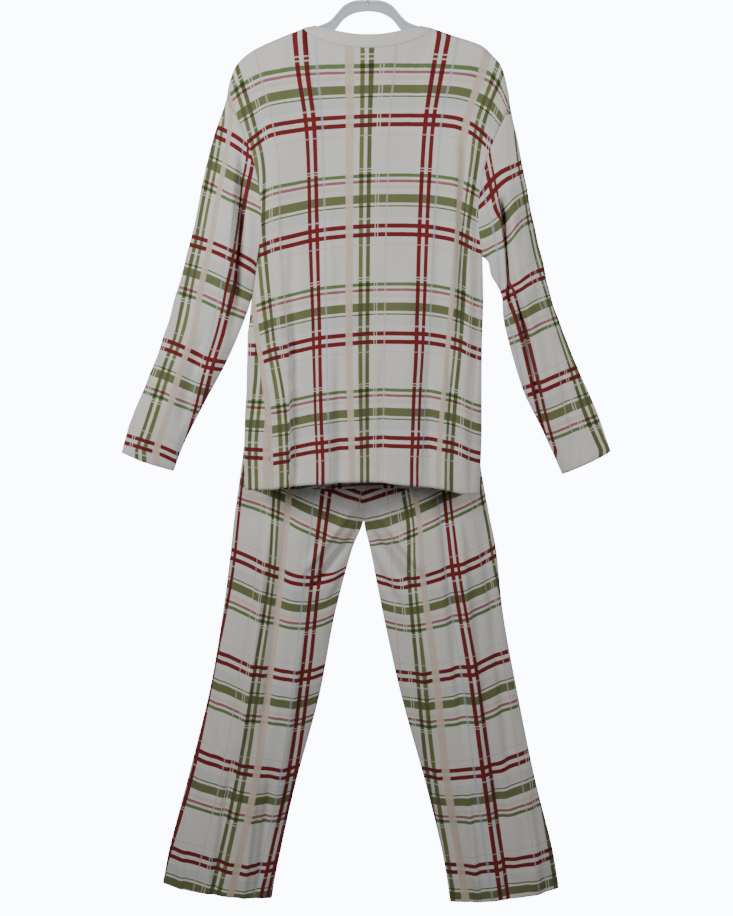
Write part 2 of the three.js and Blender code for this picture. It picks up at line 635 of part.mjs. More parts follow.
// Hanger body: an arch over the neck and two sloping arms with round ends, cut from clear plastic.
const ARCH_HALF = [
  { x: 0, top: ARCH_TOP, bottom: -86 },
  { x: 20, top: -71, bottom: -89 },
  { x: 36, top: -78, bottom: -98 },
  { x: 47, top: -90, bottom: -111 },
  { x: 57, top: -100, bottom: -118 },
  { x: 72, top: -106.5, bottom: -124 },
  { x: 96, top: -115.2, bottom: -132 },
  { x: 140, top: -132.2, bottom: -149 },
  { x: 166, top: -145.2, bottom: -162 },
];
function hangerBody() {
  const top = [];
  const bottom = [];
  for (const side of [-1, 1]) {
    const half = side < 0 ? [...ARCH_HALF].reverse() : ARCH_HALF.slice(1);
    for (const row of half) {
      top.push(new THREE.Vector2(side * row.x, row.top));
      bottom.push(new THREE.Vector2(side * row.x, row.bottom));
    }
  }
  const end = ARCH_HALF[ARCH_HALF.length - 1];
  const endPoint = (side) => new THREE.Vector2(side * HANGER_REACH, (end.top + end.bottom) / 2 - ARM_END_DROP);
  const outline = new THREE.Shape();
  const upper = new THREE.SplineCurve([endPoint(-1), ...top, endPoint(1)]);
  const lower = new THREE.SplineCurve([...bottom].reverse());
  outline.setFromPoints([...upper.getPoints(40), ...lower.getPoints(32)]);
  const geometry = new THREE.ExtrudeGeometry(outline, {
    depth: HANGER_DEPTH - 2 * HANGER_EDGE_ROUND,
    bevelEnabled: true,
    bevelThickness: HANGER_EDGE_ROUND,
    bevelSize: HANGER_EDGE_ROUND,
    bevelOffset: -HANGER_EDGE_ROUND,
    bevelSegments: 1,
  });
  geometry.rotateX(Math.PI / 2);
  geometry.translate(0, HANGER_DEPTH / 2 - HANGER_EDGE_ROUND, 0);
  const bore = new THREE.CylinderGeometry(HOOK_SOCKET_BORE / 2, HOOK_SOCKET_BORE / 2, 2 * HOOK_SOCKET_DEPTH, 10);
  bore.rotateX(Math.PI / 2);
  bore.translate(0, 0, ARCH_TOP);
  return cut(geometry, bore);
}

// Removes one closed geometry from another.
function cut(body, tool) {
  const [solid, cutter] = [body, tool].map((geometry) => {
    const bare = geometry.clone();
    bare.deleteAttribute('normal');
    bare.deleteAttribute('uv');
    const merged = mergeVertices(bare);
    return new wasm.Manifold(new wasm.Mesh({
      numProp: 3,
      vertProperties: merged.attributes.position.array,
      triVerts: Uint32Array.from(merged.index.array),
    }));
  });
  const mesh = solid.subtract(cutter).getMesh();
  const geometry = new THREE.BufferGeometry();
  geometry.setAttribute('position', new THREE.BufferAttribute(mesh.vertProperties, 3));
  geometry.setIndex(new THREE.BufferAttribute(mesh.triVerts, 1));
  geometry.computeVertexNormals();
  return geometry;
}

// Circle of the given radius, as the section that an ExtrudeGeometry carries along a path.
function roundSection(radius, sides) {
  const section = new THREE.Shape();
  section.absarc(0, 0, radius, 0, 2 * Math.PI, false);
  return { section, options: { curveSegments: sides / 2 } };
}

// Hook: a steel wire that rises from the arch, swings out and closes over the rail.
function hangerHook() {
  const radius = HOOK_RADIUS + HOOK_WIRE / 2;
  const centreZ = -HOOK_RADIUS;
  const foot = ARCH_TOP - HOOK_SOCKET_DEPTH + SEAM_GAP;
  const points = [foot, (foot + ARCH_TOP) / 2, ARCH_TOP, ARCH_TOP + HOOK_STEM]
    .map((z) => new THREE.Vector3(0, 0, z));
  for (let degrees = HOOK_START_DEGREES; degrees <= HOOK_END_DEGREES; degrees += HOOK_STEP_DEGREES) {
    const angle = THREE.MathUtils.degToRad(degrees);
    points.push(new THREE.Vector3(radius * Math.cos(angle), 0, centreZ + radius * Math.sin(angle)));
  }
  const path = new THREE.CatmullRomCurve3(points);
  const { section, options } = roundSection(HOOK_WIRE / 2, 8);
  return new THREE.ExtrudeGeometry(section, { steps: 36, extrudePath: path, ...options, bevelEnabled: false });
}

// Safety pin: a closed loop of wire with a cap at one end, lying flat against the waistband.
function safetyPin() {
  const cap = PIN_LENGTH / 2;
  const coil = -PIN_LENGTH / 2;
  const lift = PIN_WIDTH / 2;
  const bends = [
    { x: cap - PIN_CAP, z: lift },
    { x: 0, z: lift },
    { x: coil + PIN_COIL, z: lift * 0.9 },
    { x: coil, z: lift * 0.4 },
    { x: coil, z: -lift * 0.4 },
    { x: coil + PIN_COIL, z: -lift * 0.9 },
    { x: 0, z: -lift },
    { x: cap - PIN_CAP, z: -lift },
    { x: cap, z: -lift * 0.6 },
    { x: cap, z: lift * 0.5 },
  ];
  const path = new THREE.CatmullRomCurve3(bends.map(({ x, z }) => new THREE.Vector3(x, 0, z)));
  const { section, options } = roundSection(PIN_WIRE / 2, 6);
  return new THREE.ExtrudeGeometry(section, { steps: 22, extrudePath: path, ...options, bevelEnabled: false });
}

const materials = {
  plaid: () => new THREE.MeshStandardMaterial({ color: 0xe6e4e0, roughness: 0.92, metalness: 0 }),
  rib: () => new THREE.MeshStandardMaterial({ color: 0xefe8dc, roughness: 0.92, metalness: 0 }),
  clear: () => new THREE.MeshStandardMaterial({ color: 0xdfe6ea, roughness: 0.08, metalness: 0 }),
  steel: () => new THREE.MeshStandardMaterial({ color: 0xb9bcc0, roughness: 0.25, metalness: 1 }),
};

const wasm = await Module();
wasm.setup();

const group = new THREE.Group();
function addPiece(name, geometry, material) {
  const mesh = new THREE.Mesh(geometry, materials[material]());
  mesh.name = name;
  group.add(mesh);
  return mesh;
}

const backGrid = torsoGrid(-1);
const frontGrid = torsoGrid(1);
const lastColumn = backGrid[0].length - 1;
const neckLeft = SHOULDER_COLUMNS.length;
const neckRight = neckLeft + NECK_COLUMNS.length;
const underarmRow = ARMHOLE_ROWS.length - 1;
const hemRow = backGrid.length - 1;
const torsoSeams = [
  rowSeam(0, 0, neckLeft, 1),
  rowSeam(0, neckLeft, neckRight, 1),
  rowSeam(0, neckRight, lastColumn, 1),
  columnSeam(0, 0, underarmRow, 1),
  columnSeam(0, underarmRow, hemRow, 1),
  columnSeam(lastColumn, 0, underarmRow, -1),
  columnSeam(lastColumn, underarmRow, hemRow, -1),
];
addCloth('top_back', backGrid, { turn: -1, seams: torsoSeams });
addCloth('top_front', frontGrid, { turn: 1, seams: torsoSeams });

const leftSleeve = sleeveGrid(-1, SLEEVE_LEFT, backGrid, frontGrid);
const rightSleeve = sleeveGrid(1, SLEEVE_RIGHT, backGrid, frontGrid);
const armholeSeam = ringSeam(0, leftSleeve[0].length, 1);
addCloth('sleeve_left', leftSleeve, { turn: -1, closed: true, seams: [armholeSeam] });
addCloth('sleeve_right', rightSleeve, { turn: 1, closed: true, seams: [armholeSeam] });

const band = neckbandGrid(backGrid, frontGrid);
const bandSeam = ringSeam(band.length - 1, band[0].length, -1);
addCloth('neckband', band, { turn: -1, closed: true, wall: BAND_WALL, seams: [bandSeam] });

const crotchRow = SEAT_ROWS;
const legSeams = [
  rowSeam(0, 0, LEG_COLUMNS, 1),
  columnSeam(0, 0, SEAT_ROWS + LEG_ROWS, 1),
  columnSeam(LEG_COLUMNS, 0, crotchRow, -1),
  columnSeam(LEG_COLUMNS, crotchRow, SEAT_ROWS + LEG_ROWS, -1),
];
addCloth('trousers_left_back', legGrid(LEG_LEFT, -1), { turn: -1, seams: legSeams });
addCloth('trousers_left_front', legGrid(LEG_LEFT, 1), { turn: 1, seams: legSeams });
addCloth('trousers_right_back', legGrid(LEG_RIGHT, -1), { turn: 1, seams: legSeams });
addCloth('trousers_right_front', legGrid(LEG_RIGHT, 1), { turn: -1, seams: legSeams });

const casing = waistbandGrid();
const casingSeam = ringSeam(casing.length - 1, casing[0].length, -1);
addCloth('waistband', casing, { turn: -1, closed: true, wall: BAND_WALL, seams: [casingSeam] });

const normals = sharedNormals();
for (const panel of cloth) {
  addPiece(panel.name, clothWall(panel, normals), panel.name === 'neckband' ? 'rib' : 'plaid');
}
addPiece('hanger', hangerBody(), 'clear');
addPiece('hanger_hook', hangerHook(), 'steel');
for (const [name, side] of [['pin_left', -1], ['pin_right', 1]]) {
  const pin = addPiece(name, safetyPin(), 'steel');
  const away = readAlong(LEG_LEFT, 'away', 0) - WAIST_HALF_DEPTH * 0.97 + BAND_WALL + GATHER_DEPTH;
  pin.position.set(CENTRE_SEAM_X + side * PIN_SPACING, away + PIN_WIRE, WAIST_SEAM_Z + WAISTBAND_HEIGHT / 2);
}

export default group;
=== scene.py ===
# Pyjama set on a clear hanger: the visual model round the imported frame.
# Tables and named sizes are in millimetres, as in the part's source; meshes are in metres.
import math

import bpy
import numpy as np
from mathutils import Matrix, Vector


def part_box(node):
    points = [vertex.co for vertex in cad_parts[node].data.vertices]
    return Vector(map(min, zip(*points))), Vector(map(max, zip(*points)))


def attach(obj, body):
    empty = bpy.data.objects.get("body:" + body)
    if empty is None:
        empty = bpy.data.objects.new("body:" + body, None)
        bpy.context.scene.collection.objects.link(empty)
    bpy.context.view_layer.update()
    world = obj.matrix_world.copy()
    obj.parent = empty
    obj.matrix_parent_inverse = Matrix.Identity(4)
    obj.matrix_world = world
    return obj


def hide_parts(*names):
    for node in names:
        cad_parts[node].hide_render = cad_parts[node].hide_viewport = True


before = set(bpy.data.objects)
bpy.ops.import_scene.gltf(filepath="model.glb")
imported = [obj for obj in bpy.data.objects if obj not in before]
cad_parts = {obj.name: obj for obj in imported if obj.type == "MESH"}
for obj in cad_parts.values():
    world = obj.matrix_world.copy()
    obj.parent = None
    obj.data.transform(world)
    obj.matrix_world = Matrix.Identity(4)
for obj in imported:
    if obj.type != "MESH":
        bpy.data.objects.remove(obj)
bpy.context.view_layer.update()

MM = 0.001

# Camera
CAMERA_X = -0.0022
CAMERA_DISTANCE = 2.0
CAMERA_Z = -0.47355
CAMERA_PITCH_DEGREES = 8
FOCAL_PIXELS = 1300
FRAME_HEIGHT = 916
SENSOR = 36

# Top
NECK_HALF_WIDTH = 96
NECK_POINT_Z = -110
BACK_NECK_Z = -140.5
FRONT_NECK_Z = -196
BACK_NECK_CURVE = 1.3
FRONT_NECK_CURVE = 2
NECK_STAND_OFF = 14
NECKBAND_WIDTH = 19.5
NECKBAND_RISE_AT_SIDES = 0.2
NECKBAND_LEAN = 2.2
UNDERARM_LEFT_X = -169
UNDERARM_LEFT_Z = -447
UNDERARM_RIGHT_X = 175
UNDERARM_RIGHT_Z = -446
SHOULDER_ROLL = 9
SHOULDER_DEPTH = 7.5
UNDERARM_DEPTH = 20
BACK_ARMHOLE_SCOOP = 25
FRONT_ARMHOLE_SCOOP = 32
ARMHOLE_BLUNTNESS = 0.8
SIDE_FULLNESS = 0.4
SEAM_TURN_BEGINS = 2
SEAM_TURN_SPREAD = 9
SLEEVE_ROUNDNESS = 0.7
SLEEVE_SETTLES_BY = 0.2
SLEEVE_STRAIGHT_BY = 0.35
NECK_SOFTENS_BY = 0.2

# Trousers
WAIST_SEAM_Z = -576
WAISTBAND_HEIGHT = 32
WAIST_HALF_WIDTH = 165
WAIST_HALF_DEPTH = 17
WAIST_GATHERS = 46
GATHER_DEPTH = 1.3
CENTRE_SEAM_X = -7
CROTCH_Z = -867
CROTCH_CURVE = 75
LEG_ROUNDNESS = 0.75
LEG_EVENNESS = 0.45

# Cloth
CLOTH_THICKNESS = 1.0
BAND_THICKNESS = 2.2
SEAM_DIP = 0.45
SEAM_DIP_WIDTH = 2.2
HEM_ALLOWANCE = 24
HEM_EXTRA = 0.35
PLAID_ACROSS = 165
PLAID_DOWN = 164

FOLD_RISE = 0.3
FOLD_FADE = 0.3
FOLD_END = 1.06


def table(columns, rows):
    """The named columns of a short table, each as an array."""
    return dict(zip(columns.split(), np.array(rows, float).T))


SHOULDER_LEFT = table("x z", [
    (-212, -212), (-209, -194), (-200, -169), (-188, -154), (-170, -141), (-142, -128),
    (-NECK_HALF_WIDTH, NECK_POINT_Z),
])
SHOULDER_RIGHT = table("x z", [
    (NECK_HALF_WIDTH, NECK_POINT_Z), (129, -121), (169, -134.5), (186, -149), (201, -168), (211, -205),
    (214, -226),
])
TOP_BODY = table("z left right depth turn", [
    (-447, -169, 175, 20, 0),
    (-480, -173, 176, 22, 0),
    (-515, -179, 177, 24, 2),
    (-570, -185, 176, 25, 13),
    (-633, -187, 176, 26, 24),
    (-726, -192, 177, 28, 39),
    (-812, -192, 174, 30, 46),
])
BACK_HEM = table("across z", [
    (0, -801), (0.06, -797), (0.25, -791), (0.46, -788.5), (0.61, -792.5), (0.81, -800), (0.92, -809),
    (1, -810),
])
FRONT_HEM = table("across z", [(0, -801), (0.1, -806), (0.4, -808), (0.7, -807), (1, -810)])
SLEEVE_LEFT = table("out_x out_z in_x in_z depth", [
    (-212, -212, -169, -447, 14),
    (-233, -272, -171, -466, 17),
    (-249, -334, -173, -487, 19),
    (-267, -412, -178, -512, 20),
    (-292, -498, -189, -543, 19),
    (-314, -568, -216, -604, 18),
    (-342, -639, -253, -671, 17),
    (-370, -702, -283, -729, 15),
    (-383, -746, -302, -775, 14),
])
SLEEVE_RIGHT = table("out_x out_z in_x in_z depth", [
    (214, -226, 175, -446, 14),
    (223, -263, 184, -456, 17),
    (231, -300, 187, -474, 19),
    (247, -376, 196, -489, 20),
    (266, -451, 204, -508, 20),
    (283, -516, 209, -551, 19),
    (322, -612, 237, -645, 17),
    (352, -678, 268, -708, 15),
    (377, -744, 302, -780, 14),
])
LEG_LEFT = table("out_x out_z in_x in_z leg away", [
    (-172, WAIST_SEAM_Z, -7, WAIST_SEAM_Z, 0, 43.2),
    (-186, -650, -7, -650, 2, 56),
    (-200, -751, -7, -751, 5, 64),
    (-209, -812, -7, -812, 9, 66),
    (-216, -858, -7, CROTCH_Z, 27, 66),
    (-223, -917, -26, -917, 29, 65),
    (-238, -1025, -54, -1025, 27, 63),
    (-261, -1151, -79, -1157, 25, 61),
    (-298, -1296, -120, -1312, 23, 60),
    (-331, -1417, -148, -1440, 22, 60),
    (-344, -1482, -161, -1509, 21, 60),
])
LEG_RIGHT = table("out_x out_z in_x in_z leg away", [
    (158, WAIST_SEAM_Z, -7, WAIST_SEAM_Z, 0, 43.2),
    (167, -650, -7, -650, 2, 56),
    (178, -751, -7, -751, 5, 64),
    (188, -812, -7, -812, 9, 66),
    (197, -858, -7, CROTCH_Z, 27, 66),
    (209, -917, 4, -917, 29, 65),
    (222, -1025, 25, -1025, 27, 63),
    (247, -1155, 54, -1157, 25, 61),
    (277, -1296, 96, -1312, 23, 60),
    (308, -1417, 124, -1430, 22, 60),
    (321, -1491, 138, -1515, 21, 60),
])
SEAT_DEPTH = table("z depth", [(WAIST_SEAM_Z, 17), (-650, 24), (-751, 29), (-867, 30)])

# Folds and creases, each from x0, z0 to x1, z1: widths to its left and right, and its height.
# A negative height is a valley, and a narrow side is a sharp edge.
FOLD_COLUMNS = "x0 z0 x1 z1 left right height"
BACK_FOLDS = table(FOLD_COLUMNS, [
    (-118, -480, -119, -830, 34, 1.6, 14),
    (-114, -575, -115, -830, 4, 12, -4),
    (-66, -640, -70, -830, 14, 16, 8),
    (116, -560, 122, -830, 16, 4, 9),
    (146, -600, 152, -830, 20, 6, 9),
    (60, -440, 70, -830, 24, 14, 7),
    (5, -460, 0, -830, 26, 26, -6),
    (-150, -190, -120, -470, 16, 18, 5),
    (152, -190, 128, -500, 18, 16, 5),
    (-90, -230, -60, -600, 24, 24, -5),
    (-45, -560, -44, -830, 7, 8, -6),
    (-14, -540, -10, -830, 10, 7, 5),
    (24, -560, 22, -830, 7, 8, -6),
    (94, -560, 98, -830, 8, 9, -6),
    (132, -210, 130, -590, 13, 4, 8),
    (143, -210, 138, -600, 4, 8, -9),
    (158, -240, 152, -640, 7, 4, 9),
    (167, -300, 162, -680, 4, 6, -8),
    (-155, -330, -150, -600, 4, 8, -9),
    (-137, -300, -132, -620, 10, 4, 8),
    (-116, -380, -116, -640, 6, 10, -6),
    (-60, -330, -54, -600, 12, 7, 4),
    (98, -330, 92, -560, 12, 7, 4),
])
FRONT_FOLDS = table(FOLD_COLUMNS, [
    (-140, -190, -110, -830, 22, 24, 5),
    (142, -190, 120, -830, 24, 22, 5),
    (-70, -330, -60, -830, 22, 22, -4),
    (74, -360, 62, -830, 20, 20, -4),
    (-30, -560, -24, -830, 10, 12, 3),
    (18, -540, 12, -830, 10, 10, -3),
    (-100, -520, -92, -830, 10, 10, 3),
    (98, -500, 92, -830, 10, 12, 3),
    (-150, -330, -140, -600, 8, 9, -3.5),
    (152, -340, 146, -620, 8, 9, -3.5),
])
SLEEVE_LEFT_FOLDS = table(FOLD_COLUMNS, [
    (-190, -205, -213, -560, 14, 4, 12),
    (-183, -205, -206, -560, 5, 9, -17),
    (-222, -300, -262, -520, 8, 9, 4),
    (-246, -540, -292, -720, 12, 7, -7),
    (-215, -560, -262, -690, 7, 8, 5),
    (-262, -430, -320, -640, 8, 10, -4),
    (-320, -640, -352, -760, 9, 9, 4),
])
SLEEVE_RIGHT_FOLDS = table(FOLD_COLUMNS, [
    (168, -262, 212, -402, 6, 3, -9),
    (199, -320, 219, -550, 3, 3, -13),
    (207, -320, 227, -550, 3, 13, 6),
    (211, -440, 296, -800, 5, 2.6, -12),
    (219, -440, 304, -800, 3, 12, 7),
    (190, -484, 224, -504, 4, 5, 8),
    (196, -500, 222, -516, 3, 3, -8),
    (236, -330, 262, -520, 8, 8, -4),
    (290, -600, 330, -760, 8, 8, -4),
])
LEG_LEFT_FOLDS = table(FOLD_COLUMNS, [
    (8, -846, -96, -978, 4.5, 9, -18),
    (10, -872, -70, -1010, 4.5, 10, -13),
    (-12, -832, -106, -950, 9, 4.5, 8),
    (-128, -1290, -142, -1400, 4, 8, -8),
    (-120, -760, -176, -1250, 7, 14, -9),
    (-148, -790, -212, -1300, 13, 6, 9),
    (-196, -820, -258, -1330, 7, 12, -7),
    (-100, -1000, -150, -1380, 11, 6, 8),
    (-214, -1220, -262, -1520, 7, 12, -8),
    (-160, -1270, -190, -1520, 4, 10, -10),
    (-180, -1280, -208, -1520, 9, 5, 7),
    (-290, -1280, -318, -1520, 13, 6, 7),
])
LEG_RIGHT_FOLDS = table(FOLD_COLUMNS, [
    (-22, -846, 82, -978, 9, 4.5, -18),
    (-24, -872, 56, -1010, 10, 4.5, -13),
    (-2, -832, 92, -950, 4.5, 9, 8),
    (108, -760, 160, -1250, 7, 14, -9),
    (138, -790, 194, -1300, 13, 6, 9),
    (178, -820, 240, -1330, 7, 12, -7),
    (76, -1000, 126, -1380, 13, 6, 8),
    (196, -1220, 240, -1520, 7, 12, -8),
    (160, -1280, 186, -1520, 9, 5, 7),
    (262, -1280, 292, -1520, 13, 6, 7),
    (140, -1330, 156, -1520, 8, 7, -5),
])

# Where the vertical lines of the plaid run on each panel: their x at each height
BACK_LINES = table("z green_left red_left peach olive pink red_right peach_right green_right", [
    (-124, -215, -101, -27, -2, 44, 112, 182, 212),
    (-174, -199, -97, -27, -2, 39, 103, 170, 195),
    (-246, -176, -87, -27, -3, 32, 92, 147, 168),
    (-314, -161, -84, -28, -4, 30, 87, 142, 157),
    (-414, -162, -82, -28, -5, 27, 83, 135, 144),
    (-571, -147, -78, -29, -6, 25, 79, 123, 136),
    (-662, -133, -76, -27, -6, 24, 75, 115, 128),
    (-755, -129, -73, -24, -5, 23, 72, 108, 123),
])
SLEEVE_LEFT_LINES = table("z green peach red", [
    (-245, -220, -204, -172),
    (-306, -231, -215, -178),
    (-364, -243, -226, -188),
    (-430, -257, -238, -198),
    (-497, -273, -253, -210),
    (-556, -286, -264, -225),
    (-621, -310, -287, -246),
    (-686, -331, -307, -264),
    (-741, -351, -326, -282),
])
SLEEVE_RIGHT_LINES = table("z red_left pink_left green_right", [
    (-265, 174, 208, 223),
    (-306, 181, 213, 228),
    (-372, 196, 225, 241),
    (-430, 208, 234, 253),
    (-497, 217, 254, 272),
    (-556, 236, 276, 291),
    (-621, 253, 292, 316),
    (-686, 270, 304, 341),
    (-741, 286, 328, 366),
])
LEG_LEFT_LINES = table("z red_right green peach red", [
    (-747, -197, -139, -120, -58),
    (-824, -208, -146, -127, -67),
    (-959, -225, -155, -141, -84),
    (-1107, -256, -178, -158, -100),
    (-1283, -294, -207, -182, -124),
    (-1442, -342, -242, -215, -159),
    (-1502, -358, -257, -230, -173),
])
LEG_RIGHT_LINES = table("z green peach red green_right", [
    (-747, 52, 65, 116, 174),
    (-824, 63, 75, 127, 186),
    (-869, 70, 82, 132, 196),
    (-959, 72, 88, 144, 213),
    (-1107, 85, 109, 170, 254),
    (-1283, 103, 128, 196, 284),
    (-1442, 128, 153, 219, 313),
    (-1502, 137, 163, 228, 323),
])

# Place of each named line in the plaid, as a fraction of its repeat across
LINE_PLACE = {
    "green_left": -0.528, "red_left": 0, "peach": 0.336, "olive": 0.472, "green": 0.472, "pink": 0.669,
    "red_right": 1, "peach_right": 1.336, "green_right": 1.472, "red": 0,
}
SLEEVE_RIGHT_PLACE = {"red_left": 0, "pink_left": -0.331, "green_right": -0.528}
LEG_RIGHT_PLACE = {"green": 0.472, "peach": 0.336, "red": 0, "green_right": -0.528}

# How far the crosswise lines of the plaid droop below their middle height, and the heights of the
# middles of its red pairs
BACK_DROOP = table("x yoke armhole body", [
    (-209, 45, 60, 40), (-188, 28, 44, 38), (-176, 21, 37, 35), (-158, 13, 23, 29), (-145, 10, 16, 24),
    (-114, 5, 10, 16), (-75, 2, 5, 7.5), (-12, 1, 1.5, 1.5), (31, 0, 0, 0), (82, 0, 0, 1),
    (115, 1, 1.5, 5.5), (139, 2.5, 6, 12), (160, 5, 17, 22), (182, 12, 37, 29), (197, 30, 52, 33),
    (211, 60, 66, 38),
])
BACK_PAIRS = table("z down", [
    (-149, -0.565), (-166.6, -0.5), (-244.3, 0), (-406, 1), (-567, 2), (-726, 3),
])
SLEEVE_LEFT_DROOP = table("across first second third cuff", [
    (0, 0, 0, 0, 0), (0.14, 12, 4, 4, 3), (0.36, 34, 11, 12, 7), (0.7, 56, 27, 28, 18), (1, 66, 45, 35, 31),
])
SLEEVE_LEFT_PAIRS = table("z down", [(-260, 0), (-421, -1), (-577, -2), (-724, -3)])
SLEEVE_RIGHT_DROOP = table("across first second third cuff", [
    (0, 0, 0, 0, 0), (0.3, 17, 7, 9, 8), (0.65, 56, 21, 21, 19), (1, 76, 35, 33, 30),
])
SLEEVE_RIGHT_PAIRS = table("z down", [(-311, 0), (-470, -1), (-619, -2), (-771, -3)])
LEG_LEFT_DROOP = table("across seat crotch thigh knee shin hem", [
    (0, 0, 0, 0, 0, 0, 0), (0.28, 16, 16, 17, 14, 13, 8), (0.51, 35, 38, 34, 23, 22, 20),
    (0.72, 51, 57, 41, 28, 28, 26), (0.87, 63, 69, 37, 29, 32, 27), (1, 74, 74, 26, 24, 28, 26),
])
LEG_LEFT_PAIRS = table("z down", [(-752, 0), (-819, -0.4), (-919, -1), (-1089, -2), (-1254, -3), (-1425, -4)])
LEG_RIGHT_DROOP = table("across seat crotch thigh knee shin hem", [
    (0, 0, 0, 0, 0, 0, 0), (0.17, 10, 15, 15, 7, 8, 5), (0.32, 20, 27, 24, 17, 17, 9),
    (0.68, 52, 59, 46, 30, 27, 20), (0.83, 62, 71, 51, 33, 30, 24), (1, 76, 80, 44, 34, 30, 27),
])
LEG_RIGHT_PAIRS = table("z down", [(-749, 0), (-815.5, -0.4), (-915, -1), (-1088, -2), (-1257, -3), (-1428, -4)])

# The tuck in the back: the cloth rolled under its edge
TUCK_X = -119
TUCK_TOP_Z = -520
TUCK_FULL_Z = -690
TUCK_HIDDEN = 12
TUCK_FALL_LEFT = 12
TUCK_FALL_RIGHT = 28
TUCK_STEP = 5

# The creases in the sleeves that swallow some of the print: the top and foot of each, how far it
# takes to open, the repeats that it takes at its edge, and how fast the cloth lets them out again
CREASE_COLUMNS = "x0 z0 x1 z1 opens hidden left right"
CREASE_EDGE = 2.5
CREASE_LEFT = table(CREASE_COLUMNS, [(-190, -300, -205, -500, 50, 0.03, 12, 14)])
CREASE_RIGHT = table(CREASE_COLUMNS, [(201, -372, 215, -500, 22, 0.062, 12, 16)])

# How finely each panel is divided: the frame's own divisions, each split again
ARMHOLE_ROWS = np.array([0, 0.02, 0.06, 0.15, 0.26, 0.38, 0.5, 0.62, 0.74, 0.84, 0.92, 0.975, 1])
SHOULDER_COLUMNS = np.array([0, 0.06, 0.18, 0.38, 0.6, 0.82])
NECK_COLUMNS = np.array([0, 0.006, 0.045, 0.13, 0.25, 0.375, 0.5, 0.625, 0.75, 0.87, 0.955, 0.994])
TORSO_SPLIT = 5
TUCK_COLUMNS = (6.0, 8.6, 46)
ROW_SPLIT = 5
BODY_ROWS = 76
SLEEVE_SECTIONS = 130
LEG_COLUMNS = 90
SEAT_ROWS = 72
LEG_ROWS = 150


def mix(a, b, t):
    return a + (b - a) * t


def smooth(t):
    t = np.clip(t, 0, 1)
    return t * t * (3 - 2 * t)


def bell(off, width):
    return np.exp(-((off / width) ** 2))


def read(rows, key, column, place):
    """Value of a table's column at a place: a smooth cubic through its rows, with mean slopes."""
    order = np.argsort(rows[key])
    xs, ys = rows[key][order], rows[column][order]
    last = len(xs) - 1
    before = np.maximum(np.arange(last + 1) - 1, 0)
    after = np.minimum(np.arange(last + 1) + 1, last)
    slopes = (ys[after] - ys[before]) / (xs[after] - xs[before])
    at = np.clip(place, xs[0], xs[-1])
    i = np.clip(np.searchsorted(xs, at, side="left") - 1, 0, last - 1)
    span = xs[i + 1] - xs[i]
    t = (at - xs[i]) / span
    rise = (ys[i + 1] - ys[i]) / span
    bend_in = (slopes[i] - rise) * span
    bend_out = (slopes[i + 1] - rise) * span
    return mix(ys[i], ys[i + 1], t) + t * (1 - t) * ((1 - t) * bend_in - t * bend_out)


def read_along(rows, column, along):
    """The same where the rows are evenly spaced sections, at a fraction along them."""
    count = len(rows[column])
    numbered = {"place": np.arange(count, dtype=float), column: rows[column]}
    return read(numbered, "place", column, along * (count - 1))


def fade(along):
    return smooth(along / FOLD_RISE) * smooth((FOLD_END - along) / FOLD_FADE)


def fold_height(folds, x, z):
    """Sum of soft ridges. Each is a bell across its line, with its own width to each side, faded in
    at its start and out at its end unless it runs off the cloth."""
    total = np.zeros(np.broadcast(x, z).shape)
    for i in range(len(folds["x0"])):
        f = {name: values[i] for name, values in folds.items()}
        run = np.array([f["x1"] - f["x0"], f["z1"] - f["z0"]])
        length = np.hypot(*run)
        along = ((x - f["x0"]) * run[0] + (z - f["z0"]) * run[1]) / length**2
        off = ((z - f["z0"]) * run[0] - (x - f["x0"]) * run[1]) / length
        total += f["height"] * bell(off, np.where(off < 0, f["left"], f["right"])) * fade(along)
    return total


def split_steps(steps, parts):
    """The steps with each interval divided into equal parts."""
    marks = np.arange((len(steps) - 1) * parts + 1) / parts
    return np.interp(marks, np.arange(len(steps)), steps)


# The forms of the cloth, as in the frame but finer

def neck_arc(x):
    return np.sqrt(np.clip(1 - (x / NECK_HALF_WIDTH) ** 2, 0, 1))


def top_edge(x, lowest):
    """Top edge of a torso panel: the shoulder tables, and between the neck points a flattened
    ellipse that dips to its lowest height."""
    curve = FRONT_NECK_CURVE if lowest < BACK_NECK_Z else BACK_NECK_CURVE
    neckline = mix(NECK_POINT_Z, lowest, neck_arc(x) ** curve)
    left = read(SHOULDER_LEFT, "x", "z", x)
    right = read(SHOULDER_RIGHT, "x", "z", x)
    return np.where(x <= -NECK_HALF_WIDTH, left, np.where(x >= NECK_HALF_WIDTH, right, neckline))


def armhole_x(side, t, scoop):
    """The armhole: a straight line from the shoulder tip to the underarm, scooped inwards."""
    tip = SHOULDER_LEFT["x"][0] if side < 0 else SHOULDER_RIGHT["x"][-1]
    under = UNDERARM_LEFT_X if side < 0 else UNDERARM_RIGHT_X
    return mix(tip, under, t) - side * scoop * np.sin(np.pi * t) ** ARMHOLE_BLUNTNESS


def upper_depth(across, t, drop, top_x):
    """Half depth above the underarm: it rolls over the hanger at the shoulder, stands off at the
    neck and closes to the side seam at the underarm."""
    base = mix(SHOULDER_DEPTH, UNDERARM_DEPTH, t**0.8)
    edge = np.clip(1 - across**2 * t**3, 0, 1) ** SIDE_FULLNESS
    at_neck = neck_arc(top_x) ** mix(0.4, 1.6, smooth(t / NECK_SOFTENS_BY))
    stand_off = NECK_STAND_OFF * at_neck
    roll = np.sqrt(1 - (1 - np.clip(drop / SHOULDER_ROLL, 0, 1)) ** 2)
    return stand_off + (base * edge - stand_off) * mix(roll, t**0.6, at_neck)


